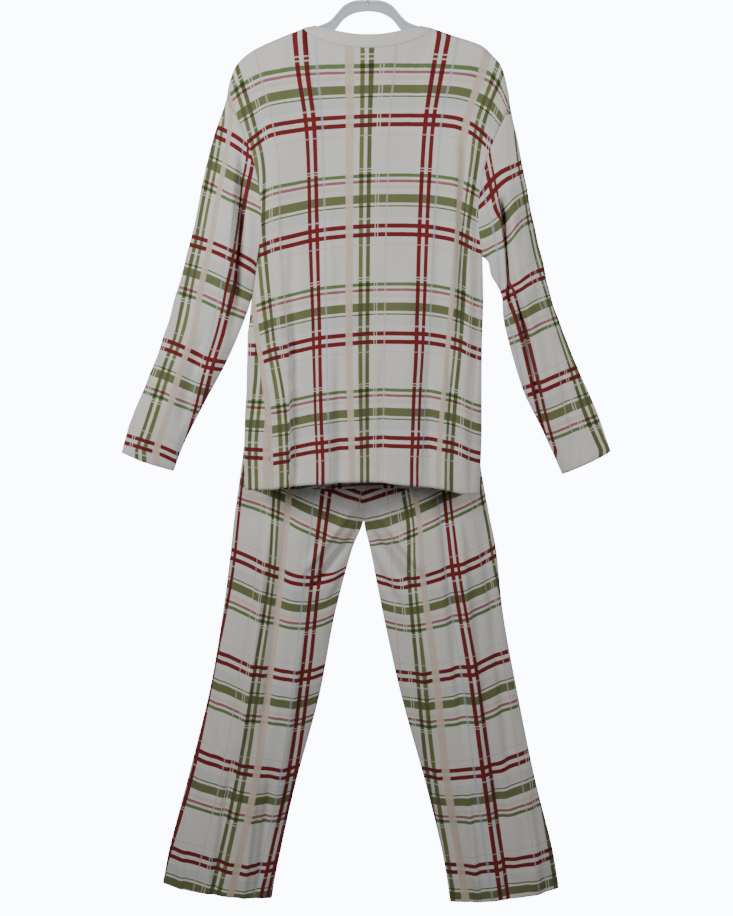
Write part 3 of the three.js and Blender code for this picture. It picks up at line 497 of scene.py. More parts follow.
def frame_columns():
    """The frame's fractions across a torso panel, with a column at each neck point."""
    left, right = SHOULDER_LEFT["x"][0], SHOULDER_RIGHT["x"][-1]
    neck_left = (-NECK_HALF_WIDTH - left) / (right - left)
    neck_right = (NECK_HALF_WIDTH - left) / (right - left)
    outwards = 1 - np.append(SHOULDER_COLUMNS[1:], 1)[::-1]
    return np.concatenate([
        SHOULDER_COLUMNS * neck_left,
        mix(neck_left, neck_right, NECK_COLUMNS),
        mix(neck_right, 1, outwards),
        [1],
    ])


FRAME_COLUMNS = frame_columns()
COLUMN_MARKS = np.arange((len(FRAME_COLUMNS) - 1) * TORSO_SPLIT + 1) / TORSO_SPLIT
COLUMN_MARKS = np.unique(np.round(np.concatenate([COLUMN_MARKS, np.linspace(*TUCK_COLUMNS)]), 4))
TORSO_COLUMNS = np.interp(COLUMN_MARKS, np.arange(len(FRAME_COLUMNS)), FRAME_COLUMNS)
UPPER_ROWS = split_steps(ARMHOLE_ROWS, ROW_SPLIT)
NECK_FIRST = int(np.argmin(abs(COLUMN_MARKS - len(SHOULDER_COLUMNS))))
NECK_LAST = int(np.argmin(abs(COLUMN_MARKS - len(SHOULDER_COLUMNS) - len(NECK_COLUMNS))))


def torso_grid(side):
    """The back (side -1) or front (side 1) of the top. Above the underarm, rows run from the top
    edge to the underarm line between the two armholes; below it, they run to the hem."""
    back = side < 0
    scoop = BACK_ARMHOLE_SCOOP if back else FRONT_ARMHOLE_SCOOP
    lowest = BACK_NECK_Z if back else FRONT_NECK_Z
    folds = BACK_FOLDS if back else FRONT_FOLDS
    u, t = TORSO_COLUMNS[None, :], UPPER_ROWS[:, None]
    top_x = mix(SHOULDER_LEFT["x"][0], SHOULDER_RIGHT["x"][-1], u)
    top_z = top_edge(top_x, lowest)
    under_z = mix(UNDERARM_LEFT_Z, UNDERARM_RIGHT_Z, u)
    z = mix(top_z, under_z, t)
    x = mix(armhole_x(-1, t, scoop), armhole_x(1, t, scoop), u)
    across = 2 * u - 1
    ridge = fold_height(folds, x, z) * np.sqrt(1 - across**2)
    depth = upper_depth(across, t, top_z - z, top_x) + ridge
    upper = np.stack([x, side * depth, z], axis=-1)
    down = (np.arange(1, BODY_ROWS + 1) / BODY_ROWS)[:, None]
    z = mix(under_z, read(BACK_HEM if back else FRONT_HEM, "across", "z", u), down)
    return np.concatenate([upper, body_points(side, u, z, folds)])


def body_points(side, u, z, folds):
    """The body of the top below the underarm: an oval section. The left side seam has turned on to
    the back, so the front panel's first columns run on the back as far as the fold at the edge."""
    left, right = read(TOP_BODY, "z", "left", z), read(TOP_BODY, "z", "right", z)
    depth = read(TOP_BODY, "z", "depth", z)
    turn = np.maximum(read(TOP_BODY, "z", "turn", z), 0)
    x = mix(left + turn, right, u)
    face = np.full(x.shape, float(side))
    if side > 0:
        turned = (COLUMN_MARKS / 2)[None, :]
        edge_share = FRAME_COLUMNS[2]
        spread = mix(left - turn, right, u)
        beyond = mix(left, right, (u - edge_share) / (1 - edge_share))
        held = np.where(turned < 1, left - turn * (1 - turned), beyond)
        x = mix(spread, held, smooth((turn - SEAM_TURN_BEGINS) / SEAM_TURN_SPREAD))
        face = np.where(x < left, -1.0, 1.0)
        x = np.where(x < left, 2 * left - x, x)
    across = np.clip((x - left) / (right - left), 0, 1) * 2 - 1
    heights = np.where(face < 0, fold_height(BACK_FOLDS, x, z), fold_height(folds, x, z))
    ridge = heights * np.sqrt(1 - across**2)
    return np.stack([x, face * (depth * (1 - across**2) ** SIDE_FULLNESS + ridge), z], axis=-1)


def sleeve_grid(side, edges, folds, back, front):
    """A sleeve as rings. The first is the armhole of the two panels; each next one is an oval
    between the sleeve's outer and inner edge, and the rings settle into it below the armhole.
    A ring starts at the underarm and runs over the front, the outer edge and the back."""
    column = 0 if side < 0 else -1
    count = len(UPPER_ROWS) - 1
    armhole = np.concatenate([front[count:0:-1, column], back[:count + 1, column]])
    step = np.concatenate([np.arange(count, 0, -1), np.arange(count + 1)])
    face = np.concatenate([np.ones(count), -np.ones(count + 1)])[None, :]
    even = (1 - np.cos(np.pi * step / count)) / 2
    along = (np.arange(1, SLEEVE_SECTIONS + 1) / SLEEVE_SECTIONS)[:, None]
    settle = smooth(along / SLEEVE_SETTLES_BY)
    t = mix(UPPER_ROWS[step][None, :], even[None, :], settle)
    scoop = np.where(face < 0, BACK_ARMHOLE_SCOOP, FRONT_ARMHOLE_SCOOP)
    fading = 1 - smooth(along / SLEEVE_STRAIGHT_BY)
    bow = -side * scoop * fading * np.sin(np.pi * t) ** ARMHOLE_BLUNTNESS
    out_x, in_x = read_along(edges, "out_x", along), read_along(edges, "in_x", along)
    out_z, in_z = read_along(edges, "out_z", along), read_along(edges, "in_z", along)
    x = mix(out_x, in_x, t) + bow
    z = mix(out_z, in_z, t)
    round_off = np.clip(np.sin(np.pi * t), 0, 1) ** SLEEVE_ROUNDNESS
    full = (read_along(edges, "depth", along) + fold_height(folds, x, z)) * round_off
    depth = mix(abs(armhole[None, :, 1]), full, settle)
    rings = np.stack([x, face * depth, z], axis=-1)
    across = np.concatenate([UPPER_ROWS[step][None, :], t])
    return np.concatenate([armhole[None], rings]), across


def leg_grid(edges, folds, face):
    """One leg panel, columns from the side seam to the centre seam and the inseam. Its depth is the
    seat's, which curves under to the crotch, plus the leg's own oval."""
    crotch = int(np.argmin(abs(edges["in_z"] - CROTCH_Z))) / (len(edges["in_z"]) - 1)
    seat_rows = crotch * np.arange(SEAT_ROWS) / SEAT_ROWS
    along = np.concatenate([seat_rows, np.linspace(crotch, 1, LEG_ROWS + 1)])[:, None]
    column = np.arange(LEG_COLUMNS + 1)[None, :]
    across = mix((1 - np.cos(np.pi * column / LEG_COLUMNS)) / 2, column / LEG_COLUMNS, LEG_EVENNESS)
    above = along < crotch
    inner_x = np.where(above, CENTRE_SEAM_X, read_along(edges, "in_x", along))
    inner_z = read_along(edges, "in_z", along)
    inner_z = np.where(above, np.maximum(inner_z, CROTCH_Z), inner_z)
    seat = np.where(above, np.maximum(read(SEAT_DEPTH, "z", "depth", inner_z), 0), 0)
    closing = smooth((inner_z - CROTCH_Z) / CROTCH_CURVE)
    seat = seat * closing * (1 - (1 - across) ** 2) ** SIDE_FULLNESS
    x = mix(read_along(edges, "out_x", along), inner_x, across)
    z = mix(read_along(edges, "out_z", along), inner_z, across)
    round_off = np.clip(np.sin(np.pi * across), 0, 1) ** LEG_ROUNDNESS
    round_off = np.where(across < 1, round_off, 0)
    leg = (read_along(edges, "leg", along) + fold_height(folds, x, z)) * round_off
    y = read_along(edges, "away", along) + face * (seat + leg)
    return np.stack([x, np.broadcast_to(y, x.shape), z], axis=-1), np.broadcast_to(across, x.shape)


def neckband_grid(back, front):
    """The neckband: from the neckline it stands up towards the middle of the opening. Its ring runs
    along the back, round the right neck point and home along the front."""
    lower = np.concatenate([back[0, NECK_FIRST:NECK_LAST + 1], front[0, NECK_FIRST:NECK_LAST][::-1]])
    sideways = abs(lower[:, 0] / NECK_HALF_WIDTH) ** NECKBAND_LEAN
    inward = -np.sign(lower[:, 0]) * sideways
    upward = mix(1, NECKBAND_RISE_AT_SIDES, sideways**2)
    way = np.stack([inward, np.zeros(len(lower)), upward], axis=-1)
    way /= np.linalg.norm(way, axis=1)[:, None]
    rise = np.linspace(1, 0, 9)[:, None, None]
    return lower[None] + way[None] * NECKBAND_WIDTH * rise


def waistband_grid():
    """The waistband: an oval ring, gathered into small upright waves between its two edges."""
    steps = WAIST_GATHERS * 10
    angle = (2 * np.pi * np.arange(steps + 1) / steps)[None, :]
    down = np.linspace(0, 1, 15)[:, None]
    uneven = 1 + 0.35 * np.sin(3 * angle + 1) + 0.25 * np.sin(7 * angle)
    wave = GATHER_DEPTH * np.sin(np.pi * down) ** 0.6 * np.cos(angle * WAIST_GATHERS) * uneven
    x = CENTRE_SEAM_X + (WAIST_HALF_WIDTH + wave) * np.cos(angle)
    sine = np.sin(angle)
    y = LEG_LEFT["away"][0] + (WAIST_HALF_DEPTH + wave) * np.sign(sine) * abs(sine) ** (2 * SIDE_FULLNESS)
    z = np.broadcast_to(WAIST_SEAM_Z + (1 - down) * WAISTBAND_HEIGHT, x.shape)
    x[:, -1], y[:, -1] = x[:, 0], y[:, 0]
    return np.stack([x, y, z], axis=-1)


# Where a point lies in the print: repeats across, and repeats down

def place_across(lines, places, x, z):
    """Repeats across at a point: straight between the named lines that pass it at its height, and at
    the plaid's own width beyond them."""
    names = [name for name in lines if name != "z"]
    xs = np.stack([read(lines, "z", name, z) for name in names])
    at = np.array([places[name] for name in names])
    i = np.clip((x[None] > xs).sum(axis=0) - 1, 0, len(names) - 2)
    start = np.take_along_axis(xs, i[None], 0)[0]
    end = np.take_along_axis(xs, i[None] + 1, 0)[0]
    between = mix(at[i], at[i + 1], (x - start) / (end - start))
    way = np.sign(at[1] - at[0]) / PLAID_ACROSS
    before, after = at[0] + (x - xs[0]) * way, at[-1] + (x - xs[-1]) * way
    return np.where(x < xs[0], before, np.where(x > xs[-1], after, between))


def place_down(pairs, droops, columns, key, place, z):
    """Repeats down at a point: straight between the drooping crosswise lines above and below it."""
    heights = np.stack([
        height - read(droops, key, column, place) for height, column in zip(pairs["z"], columns)
    ])
    at = pairs["down"]
    i = np.clip((z[None] < heights).sum(axis=0) - 1, 0, len(at) - 2)
    start = np.take_along_axis(heights, i[None], 0)[0]
    end = np.take_along_axis(heights, i[None] + 1, 0)[0]
    return mix(at[i], at[i + 1], (z - start) / (end - start))


def back_print(grid):
    """The print on the back, with the cloth that the tuck hides taken out at its edge."""
    x, z = grid[..., 0], grid[..., 2]
    columns = ["yoke", "yoke", "armhole", "body", "body", "body"]
    tucked = smooth((TUCK_TOP_Z - z) / (TUCK_TOP_Z - TUCK_FULL_Z))
    off = x - TUCK_X
    left = tucked * np.where(off < 0, np.exp(off / TUCK_FALL_LEFT), 0)
    right = tucked * np.where(off < 0, 0, np.exp(-off / TUCK_FALL_RIGHT))
    across = place_across(BACK_LINES, LINE_PLACE, x, z) + (right - left) * TUCK_HIDDEN / 2 / PLAID_ACROSS
    lowered = tucked * np.where(off < 0, np.exp(off / 60), 0) * TUCK_STEP
    down = place_down(BACK_PAIRS, BACK_DROOP, columns, "x", x, z + lowered)
    return np.stack([across, down], axis=-1)


FRONT_RED_X = -124
FRONT_REPEAT = 157
FRONT_PAIR_Z = -231
FRONT_REPEAT_DOWN = 160


def front_print(grid):
    """The print on the front, straight across as it lies unfolded at the turned side seam."""
    x, z = grid[..., 0], grid[..., 2]
    left = read(TOP_BODY, "z", "left", z)
    turned = (grid[..., 1] < 0) & (z < UNDERARM_LEFT_Z)
    flat = np.where(turned, 2 * left - x, x)
    droop = read(BACK_DROOP, "x", "body", np.clip(flat, -176, 182))
    across = (flat - FRONT_RED_X) / FRONT_REPEAT
    down = (FRONT_PAIR_Z - droop - z) / FRONT_REPEAT_DOWN
    return np.stack([across, down], axis=-1)


def hidden_in_crease(crease, x, z):
    """Repeats across that a sleeve's crease takes out of sight at its edge: a smooth step at the
    crease, full between its two heights, and let out again over the cloth to both sides."""
    c = {name: values[0] for name, values in crease.items()}
    off = x - mix(c["x0"], c["x1"], (z - c["z0"]) / (c["z1"] - c["z0"]))
    window = smooth((c["z0"] - z) / c["opens"]) * smooth((z - c["z1"]) / c["opens"])
    fall = np.where(off < 0, c["left"], c["right"])
    return -np.tanh(off / CREASE_EDGE) * c["hidden"] * window * np.exp(-abs(off) / fall)


def sleeve_print(rings, across, lines, places, pairs, droops, crease):
    """The print on a sleeve: read on the back, and turned round the outer edge for the front."""
    x, z = rings[..., 0], rings[..., 2]
    tip = rings.shape[1] // 2
    u = place_across(lines, places, x, z) + hidden_in_crease(crease, x, z)
    u[:, :tip] = 2 * u[:, tip:tip + 1] - u[:, :tip]
    v = place_down(pairs, droops, ["first", "second", "third", "cuff"], "across", across, z)
    return np.stack([u, v], axis=-1)


def leg_print(grid, across, lines, places, pairs, droops, face):
    """The print on a leg panel: read on the back, and turned round the side seam for the front."""
    x, z = grid[..., 0], grid[..., 2]
    u = place_across(lines, places, x, z)
    if face > 0:
        u = 2 * u[:, :1] - u
    v = place_down(pairs, droops, ["seat", "crotch", "thigh", "knee", "shin", "hem"], "across", across, z)
    return np.stack([u, v], axis=-1)


# Cloth made from the grids

def steps_along(grid, axis):
    """Distance walked over the cloth from the first row or column."""
    steps = np.linalg.norm(np.diff(grid, axis=axis), axis=-1)
    return np.concatenate([np.zeros_like(np.take(steps, [0], axis)), np.cumsum(steps, axis)], axis)


def quad_normals(grid, turn):
    """At each point, the sum of the normals of the faces round it."""
    normal = np.cross(grid[1:, 1:] - grid[:-1, :-1], grid[1:, :-1] - grid[:-1, 1:]) * turn
    length = np.linalg.norm(normal, axis=-1, keepdims=True)
    normal = np.divide(normal, length, out=np.zeros_like(normal), where=length > 1e-9)
    total = np.zeros_like(grid)
    for rows in (slice(None, -1), slice(1, None)):
        for columns in (slice(None, -1), slice(1, None)):
            total[rows, columns] += normal
    return total


def share_normals(panels):
    """Joins the normals of all points that lie together, so that panels meet along their seams."""
    points = np.concatenate([panel["grid"].reshape(-1, 3) for panel in panels])
    sums = np.concatenate([quad_normals(panel["grid"], panel["turn"]).reshape(-1, 3) for panel in panels])
    _, place = np.unique(np.round(points * 20).astype(np.int64), axis=0, return_inverse=True)
    place = place.ravel()
    total = np.zeros((place.max() + 1, 3))
    np.add.at(total, place, sums)
    total /= np.maximum(np.linalg.norm(total, axis=1, keepdims=True), 1e-9)
    shared = total[place]
    start = 0
    for panel in panels:
        count = panel["grid"].shape[0] * panel["grid"].shape[1]
        panel["normals"] = shared[start:start + count].reshape(panel["grid"].shape)
        start += count


def ripples(x, z, seed, height):
    """Small uneven waves of the jersey, mostly upright: a sum of sines of set lengths and leans."""
    chance = np.random.default_rng(seed)
    total = np.zeros(x.shape)
    for length in (17, 23, 31, 44, 60):
        lean = chance.uniform(-0.45, 0.45)
        along = x * math.cos(lean) + z * math.sin(lean) + 6 * np.sin(z / 70 + chance.uniform(0, 6))
        fading = 0.5 + 0.5 * np.sin(z / chance.uniform(60, 110) + x / 90 + chance.uniform(0, 6))
        total += fading * np.sin(2 * np.pi * along / length + chance.uniform(0, 6)) * length / 60
    return height * total


def seam_distance(grid, seams):
    """Distance over the cloth to the nearest of the named edges of the grid."""
    down, across = steps_along(grid, 0), steps_along(grid, 1)
    away = {"top": down, "bottom": down[-1:] - down, "left": across, "right": across[:, -1:] - across}
    return np.minimum.reduce([away[name] for name in seams])


def cloth_shell(name, panel, slots):
    """A thin closed shell: the outside face is the grid with its ripples, dips at the seams and a
    thicker hem, and the inside face lies one thickness inside. Print places are kept as a UV map,
    and distances to the nearest seam and to the hem as another."""
    grid, normals, turn, thickness = panel["grid"], panel["normals"], panel["turn"], panel["thickness"]
    seam = seam_distance(grid, panel["seams"])
    hem = seam_distance(grid, ["bottom"])
    wave = ripples(grid[..., 0], grid[..., 2], panel["seed"], panel["ripple"]) * smooth(seam / 18)
    hemmed = smooth((HEM_ALLOWANCE - hem) / 2) * HEM_EXTRA if panel["hemmed"] else 0
    stitched = sum(bell(hem - line, 1.3) for line in (18.5, 22)) if panel["hemmed"] else 0
    dip = SEAM_DIP * bell(seam, SEAM_DIP_WIDTH)
    outer = grid + normals * (wave + hemmed - dip - 0.45 * stitched)[..., None]
    inner = grid + normals * (wave - thickness)[..., None]
    rows, columns = grid.shape[:2]
    place = np.arange(rows * columns).reshape(rows, columns)
    under = place + rows * columns
    faces = [
        (place[:-1, :-1], place[:-1, 1:], place[1:, 1:], place[1:, :-1]),
        (under[:-1, :-1], under[1:, :-1], under[1:, 1:], under[:-1, 1:]),
        (place[0, 1:], place[0, :-1], under[0, :-1], under[0, 1:]),
        (place[-1, :-1], place[-1, 1:], under[-1, 1:], under[-1, :-1]),
        (place[:-1, 0], place[1:, 0], under[1:, 0], under[:-1, 0]),
        (place[1:, -1], place[:-1, -1], under[:-1, -1], under[1:, -1]),
    ]
    quads = [np.stack([corner.ravel() for corner in part], axis=-1) for part in faces]
    side = np.repeat([0, 1, 0, 0, 0, 0], [len(part) for part in quads])
    rim = np.repeat([0, 0, 1, 1, 1, 1], [len(part) for part in quads])
    quads = np.concatenate(quads)
    if turn < 0:
        quads = quads[:, ::-1]
    points = np.concatenate([outer.reshape(-1, 3), inner.reshape(-1, 3)]) * MM
    edges = np.stack([seam, hem], axis=-1) * MM
    maps = {"Cloth": panel["print"], "Edges": edges}
    maps = {key: np.concatenate([value.reshape(-1, 2)] * 2) for key, value in maps.items()}
    return finish_mesh(name, points, quads, maps, slots, side, rim == 0)


def finish_mesh(name, points, quads, maps, slots, side=None, smooth_faces=None):
    """A mesh object from arrays, with its UV maps, its material slots and its smooth faces."""
    mesh = bpy.data.meshes.new(name)
    mesh.from_pydata(points.tolist(), [], quads.tolist())
    for key, values in maps.items():
        layer = mesh.uv_layers.new(name=key)
        layer.data.foreach_set("uv", values[quads.ravel()].ravel())
    for material in slots:
        mesh.materials.append(material)
    if side is not None:
        mesh.polygons.foreach_set("material_index", side)
    smoothed = np.ones(len(quads), bool) if smooth_faces is None else smooth_faces
    mesh.polygons.foreach_set("use_smooth", smoothed)
    mesh.update()
    obj = bpy.data.objects.new(name, mesh)
    bpy.context.scene.collection.objects.link(obj)
    return obj


def tube(path, radius, sides=20):
    """A round bar along a path that lies in the plane of x and z, as rings of points with its two ends left open."""
    along = np.gradient(path, axis=0)
    along /= np.linalg.norm(along, axis=1, keepdims=True)
    beside = np.stack([along[:, 2], np.zeros(len(path)), -along[:, 0]], axis=-1)
    angle = 2 * np.pi * np.arange(sides) / sides
    radii = np.broadcast_to(radius, len(path))[:, None, None]
    ring = beside[:, None] * np.cos(angle)[None, :, None]
    ring = ring + np.array([0, 1, 0]) * np.sin(angle)[None, :, None]
    return path[:, None] + ring * radii


def closed_rings(rings):
    """Points and faces of a row of closed rings, each end gathered to a point."""
    count, sides = rings.shape[:2]
    ends = np.repeat(rings[[0, -1]].mean(axis=1)[:, None], sides, axis=1)
    rings = np.concatenate([ends[:1], rings, ends[1:]])
    place = np.arange((count + 2) * sides).reshape(count + 2, sides)
    after = np.roll(place, -1, axis=1)
    quads = np.stack([place[:-1], place[1:], after[1:], after[:-1]], axis=-1).reshape(-1, 4)
    return rings.reshape(-1, 3), quads


def solid_of_rings(name, rings, slots):
    points, quads = closed_rings(rings)
    points = points * MM
    volume = np.einsum("ij,ij->i", points[quads[:, 0]], np.cross(points[quads[:, 1]], points[quads[:, 2]]))
    volume = volume.sum() + np.einsum(
        "ij,ij->i", points[quads[:, 0]], np.cross(points[quads[:, 2]], points[quads[:, 3]])
    ).sum()
    if volume < 0:
        quads = quads[:, ::-1]
    return finish_mesh(name, points, quads, {}, slots)


# Materials

def paint(red, green, blue):
    """A colour as measured on a screen, 0 to 255, turned to the renderer's linear colour."""
    share = np.array([red, green, blue]) / 255
    linear = np.where(share <= 0.04045, share / 12.92, ((share + 0.055) / 1.055) ** 2.4)
    return (*linear.tolist(), 1)


def node_group(name, inputs, outputs):
    """An empty shader group with its sockets. Each input is (name, kind, value)."""
    group = bpy.data.node_groups.new(name, "ShaderNodeTree")
    for label, kind, value in inputs:
        socket = group.interface.new_socket(label, in_out="INPUT", socket_type=f"NodeSocket{kind}")
        if value is not None:
            socket.default_value = value
    for label, kind in outputs:
        group.interface.new_socket(label, in_out="OUTPUT", socket_type=f"NodeSocket{kind}")
    return group, group.nodes.new("NodeGroupInput").outputs, group.nodes.new("NodeGroupOutput").inputs


def add_node(tree, kind, values=(), **settings):
    """A node with its settings; each value is a number or a socket to link in order of the inputs."""
    node = tree.nodes.new(kind)
    for key, value in settings.items():
        setattr(node, key, value)
    pairs = values.items() if isinstance(values, dict) else enumerate(values)
    for key, value in pairs:
        if isinstance(value, bpy.types.NodeSocket):
            tree.links.new(value, node.inputs[key])
        elif value is not None:
            node.inputs[key].default_value = value
    return node


def maths(tree, operation, *values):
    return add_node(tree, "ShaderNodeMath", values, operation=operation).outputs[0]


def blend(tree, kind, share, first, second):
    """Mixes two colours: kind is MIX or MULTIPLY."""
    node = tree.nodes.new("ShaderNodeMix")
    node.data_type, node.blend_type = "RGBA", kind
    for socket, value in zip((node.inputs[0], node.inputs[6], node.inputs[7]), (share, first, second)):
        if isinstance(value, bpy.types.NodeSocket):
            tree.links.new(value, socket)
        else:
            socket.default_value = value
    return node.outputs[2]


def stripe_group():
    """One stripe of a repeating print: 1 where the place is within half a width of the centre."""
    group, given, result = node_group(
        "print_stripe",
        [("Place", "Float", 0), ("Centre", "Float", 0), ("Half Width", "Float", 0.02), ("Softness", "Float", 0.003)],
        [("Mask", "Float")],
    )
    off = maths(group, "PINGPONG", maths(group, "SUBTRACT", given["Place"], given["Centre"]), 0.5)
    outside = maths(group, "ADD", given["Half Width"], given["Softness"])
    inside = maths(group, "SUBTRACT", given["Half Width"], given["Softness"])
    ramp = add_node(group, "ShaderNodeMapRange", {
        "Value": off, "From Min": outside, "From Max": inside, "To Min": 0, "To Max": 1,
    }, interpolation_type="SMOOTHSTEP", clamp=True)
    group.links.new(ramp.outputs[0], result["Mask"])
    return group


GROUND = paint(229, 226, 219)
RED_INK = paint(136, 10, 16)
GREEN_INK = paint(114, 142, 84)
OLIVE_INK = paint(123, 131, 84)
OLIVE_PAIR_INK = paint(128, 136, 78)
ROSE_INK = paint(184, 118, 126)
TAN_INK = paint(249, 239, 228)
PEACH = paint(220, 200, 180)
PALE_BLUE = paint(176, 192, 214)
PINK = paint(222, 188, 190)
CREAM = paint(228, 227, 216)

# Stripes of the plaid: direction, centre and half width in repeats, ink, and how strong it prints
INK_STRIPES = [
    ("down", -0.0395, 0.0205, "red", 1),
    ("down", 0.0395, 0.0205, "red", 1),
    ("across", -0.034, 0.0185, "red", 1),
    ("across", 0.034, 0.0185, "red", 1),
    ("down", 0.5, 0.0155, "green", 1),
    ("down", 0.711, 0.0395, "olive", 1),
    ("down", 0.78, 0.0072, "green", 1),
    ("across", 0.439, 0.0185, "olive_light", 1),
    ("across", 0.505, 0.0185, "olive_dark", 1),
    ("down", 0.553, 0.013, "rose", 1),
    ("down", 0.606, 0.018, "tan", 1),
    ("down", 0.84, 0.043, "blue", 0.22),
]
PALE_STRIPES = [
    ("down", 0.134, 0.0048, "pink", 0.6),
    ("down", 0.435, 0.0040, "cream", 0.75),
    ("down", 0.459, 0.0040, "cream", 0.75),
    ("down", 0.892, 0.0076, "cream", 0.5),
    ("across", 0.106, 0.010, "blue", 0.5),
    ("across", 0.336, 0.033, "peach", 0.88),
    ("across", 0.568, 0.0040, "cream", 0.75),
    ("across", 0.592, 0.0040, "cream", 0.75),
    ("across", 0.669, 0.0075, "pink", 0.55),
]
INKS = {
    "red": RED_INK, "green": GREEN_INK, "olive": OLIVE_INK, "olive_light": OLIVE_PAIR_INK,
    "olive_dark": paint(110, 119, 66), "rose": ROSE_INK, "blue": PALE_BLUE, "pink": PINK, "cream": CREAM,
    "peach": PEACH, "tan": TAN_INK,
}


def plaid_group(stripe):
    """The plaid print: inks multiplied over the ground, each ink's two directions added together,
    and then the pale lines laid over them."""
    group, given, result = node_group(
        "plaid_print", [("Place", "Vector", None), ("Strength", "Float", 1)], [("Colour", "Color")]
    )
    fuzz = add_node(group, "ShaderNodeTexNoise", {"Vector": given["Place"], "Scale": 130, "Detail": 1})
    shake = add_node(group, "ShaderNodeVectorMath", [fuzz.outputs["Color"], (0.5, 0.5, 0.5)], operation="SUBTRACT")
    shake = add_node(group, "ShaderNodeVectorMath", {"Vector": shake.outputs[0], "Scale": 0.0035}, operation="SCALE")
    place = add_node(group, "ShaderNodeVectorMath", [given["Place"], shake.outputs[0]], operation="ADD")
    parts = add_node(group, "ShaderNodeSeparateXYZ", [place.outputs[0]]).outputs
    ways = {"across": parts[0], "down": parts[1]}

    def mask(way, centre, half):
        node = add_node(group, "ShaderNodeGroup", node_tree=stripe)
        group.links.new(ways[way], node.inputs["Place"])
        node.inputs["Centre"].default_value = centre
        node.inputs["Half Width"].default_value = half
        return node.outputs["Mask"]

    amounts = {}
    for way, centre, half, ink, strength in INK_STRIPES:
        amount = maths(group, "MULTIPLY", mask(way, centre, half), strength)
        amounts[ink] = maths(group, "ADD", amounts[ink], amount) if ink in amounts else amount
    colour = GROUND
    under_red = maths(group, "MULTIPLY_ADD", maths(group, "MINIMUM", amounts["red"], 1), -0.55, 1)
    under_olive = maths(group, "MULTIPLY_ADD", maths(group, "MINIMUM", amounts["olive"], 1), -0.5, 1)
    for ink in ("olive_light", "olive_dark"):
        amounts[ink] = maths(group, "MULTIPLY", amounts[ink], under_olive)
    for ink in ("green", "olive", "olive_light", "olive_dark"):
        amounts[ink] = maths(group, "MULTIPLY", amounts[ink], under_red)
    for ink, amount in amounts.items():
        amount = maths(group, "MINIMUM", maths(group, "MULTIPLY", amount, given["Strength"]), 1)
        colour = blend(group, "MULTIPLY", amount, colour, INKS[ink])
    for way, centre, half, ink, strength in PALE_STRIPES:
        amount = maths(group, "MULTIPLY", mask(way, centre, half), strength)
        amount = maths(group, "MULTIPLY", amount, given["Strength"])
        colour = blend(group, "MIX", amount, colour, INKS[ink])
    group.links.new(colour, result["Colour"])
    return group


def plain_material(name, **values):
    """A material whose Principled sockets hold plain values."""
    material = bpy.data.materials.new(name)
    material.use_nodes = True
    principled = material.node_tree.nodes["Principled BSDF"]
    for key, value in values.items():
        principled.inputs[key.replace("_", " ")].default_value = value
    return material, material.node_tree, principled


def knit_bump(tree, principled, scale, strength, distance):
    """Fine loops of the knit, as a small uneven height."""
    place = add_node(tree, "ShaderNodeTexCoord").outputs["Object"]
    noise = add_node(tree, "ShaderNodeTexNoise", {"Vector": place, "Scale": scale, "Detail": 3})
    bump = add_node(tree, "ShaderNodeBump", {
        "Height": noise.outputs[0], "Strength": strength, "Distance": distance,
    })
    tree.links.new(bump.outputs[0], principled.inputs["Normal"])


def plaid_material(name, plaid, inside):
    """Printed jersey. Inside, the print shows pale but for the allowance folded up at the hem."""
    material, tree, principled = plain_material(name, Roughness=0.9, Sheen_Weight=0.15, Sheen_Roughness=0.6)
    place = add_node(tree, "ShaderNodeUVMap", uv_map="Cloth").outputs[0]
    print_node = add_node(tree, "ShaderNodeGroup", node_tree=plaid)
    tree.links.new(place, print_node.inputs["Place"])
    if inside:
        edges = add_node(tree, "ShaderNodeUVMap", uv_map="Edges").outputs[0]
        hem = add_node(tree, "ShaderNodeSeparateXYZ", [edges]).outputs[1]
        folded = maths(tree, "LESS_THAN", hem, HEM_ALLOWANCE * MM)
        tree.links.new(maths(tree, "MULTIPLY_ADD", folded, 0.72, 0.28), print_node.inputs["Strength"])
    tree.links.new(print_node.outputs[0], principled.inputs["Base Color"])
    knit_bump(tree, principled, 900, 0.25, 0.0006)
    return material


stripe = stripe_group()
plaid = plaid_group(stripe)
plaid_outside = plaid_material("plaid_jersey_outside", plaid, False)
plaid_inside = plaid_material("plaid_jersey_inside", plaid, True)

rib, rib_tree, rib_principled = plain_material(
    "cream_rib", Base_Color=paint(232, 229, 222), Roughness=0.9, Sheen_Weight=0.15
)
knit_bump(rib_tree, rib_principled, 1100, 0.3, 0.0006)
clear, _, _ = plain_material(
    "clear_plastic", Base_Color=(0.98, 0.99, 1, 1), Roughness=0.06, Metallic=0, Transmission_Weight=1, IOR=1.49
)
steel, _, _ = plain_material("steel_wire", Base_Color=paint(190, 192, 196), Roughness=0.22, Metallic=1)

# Pieces
back = torso_grid(-1)
front = torso_grid(1)
left_sleeve, left_across = sleeve_grid(-1, SLEEVE_LEFT, SLEEVE_LEFT_FOLDS, back, front)
right_sleeve, right_across = sleeve_grid(1, SLEEVE_RIGHT, SLEEVE_RIGHT_FOLDS, back, front)

panels = {}


def add_panel(name, grid, turn, places, seams, hemmed=True, thickness=CLOTH_THICKNESS, ripple=0.65):
    panels[name] = {
        "grid": grid, "turn": turn, "print": places, "seams": seams, "hemmed": hemmed,
        "thickness": thickness, "ripple": ripple, "seed": len(panels) + 3,
    }


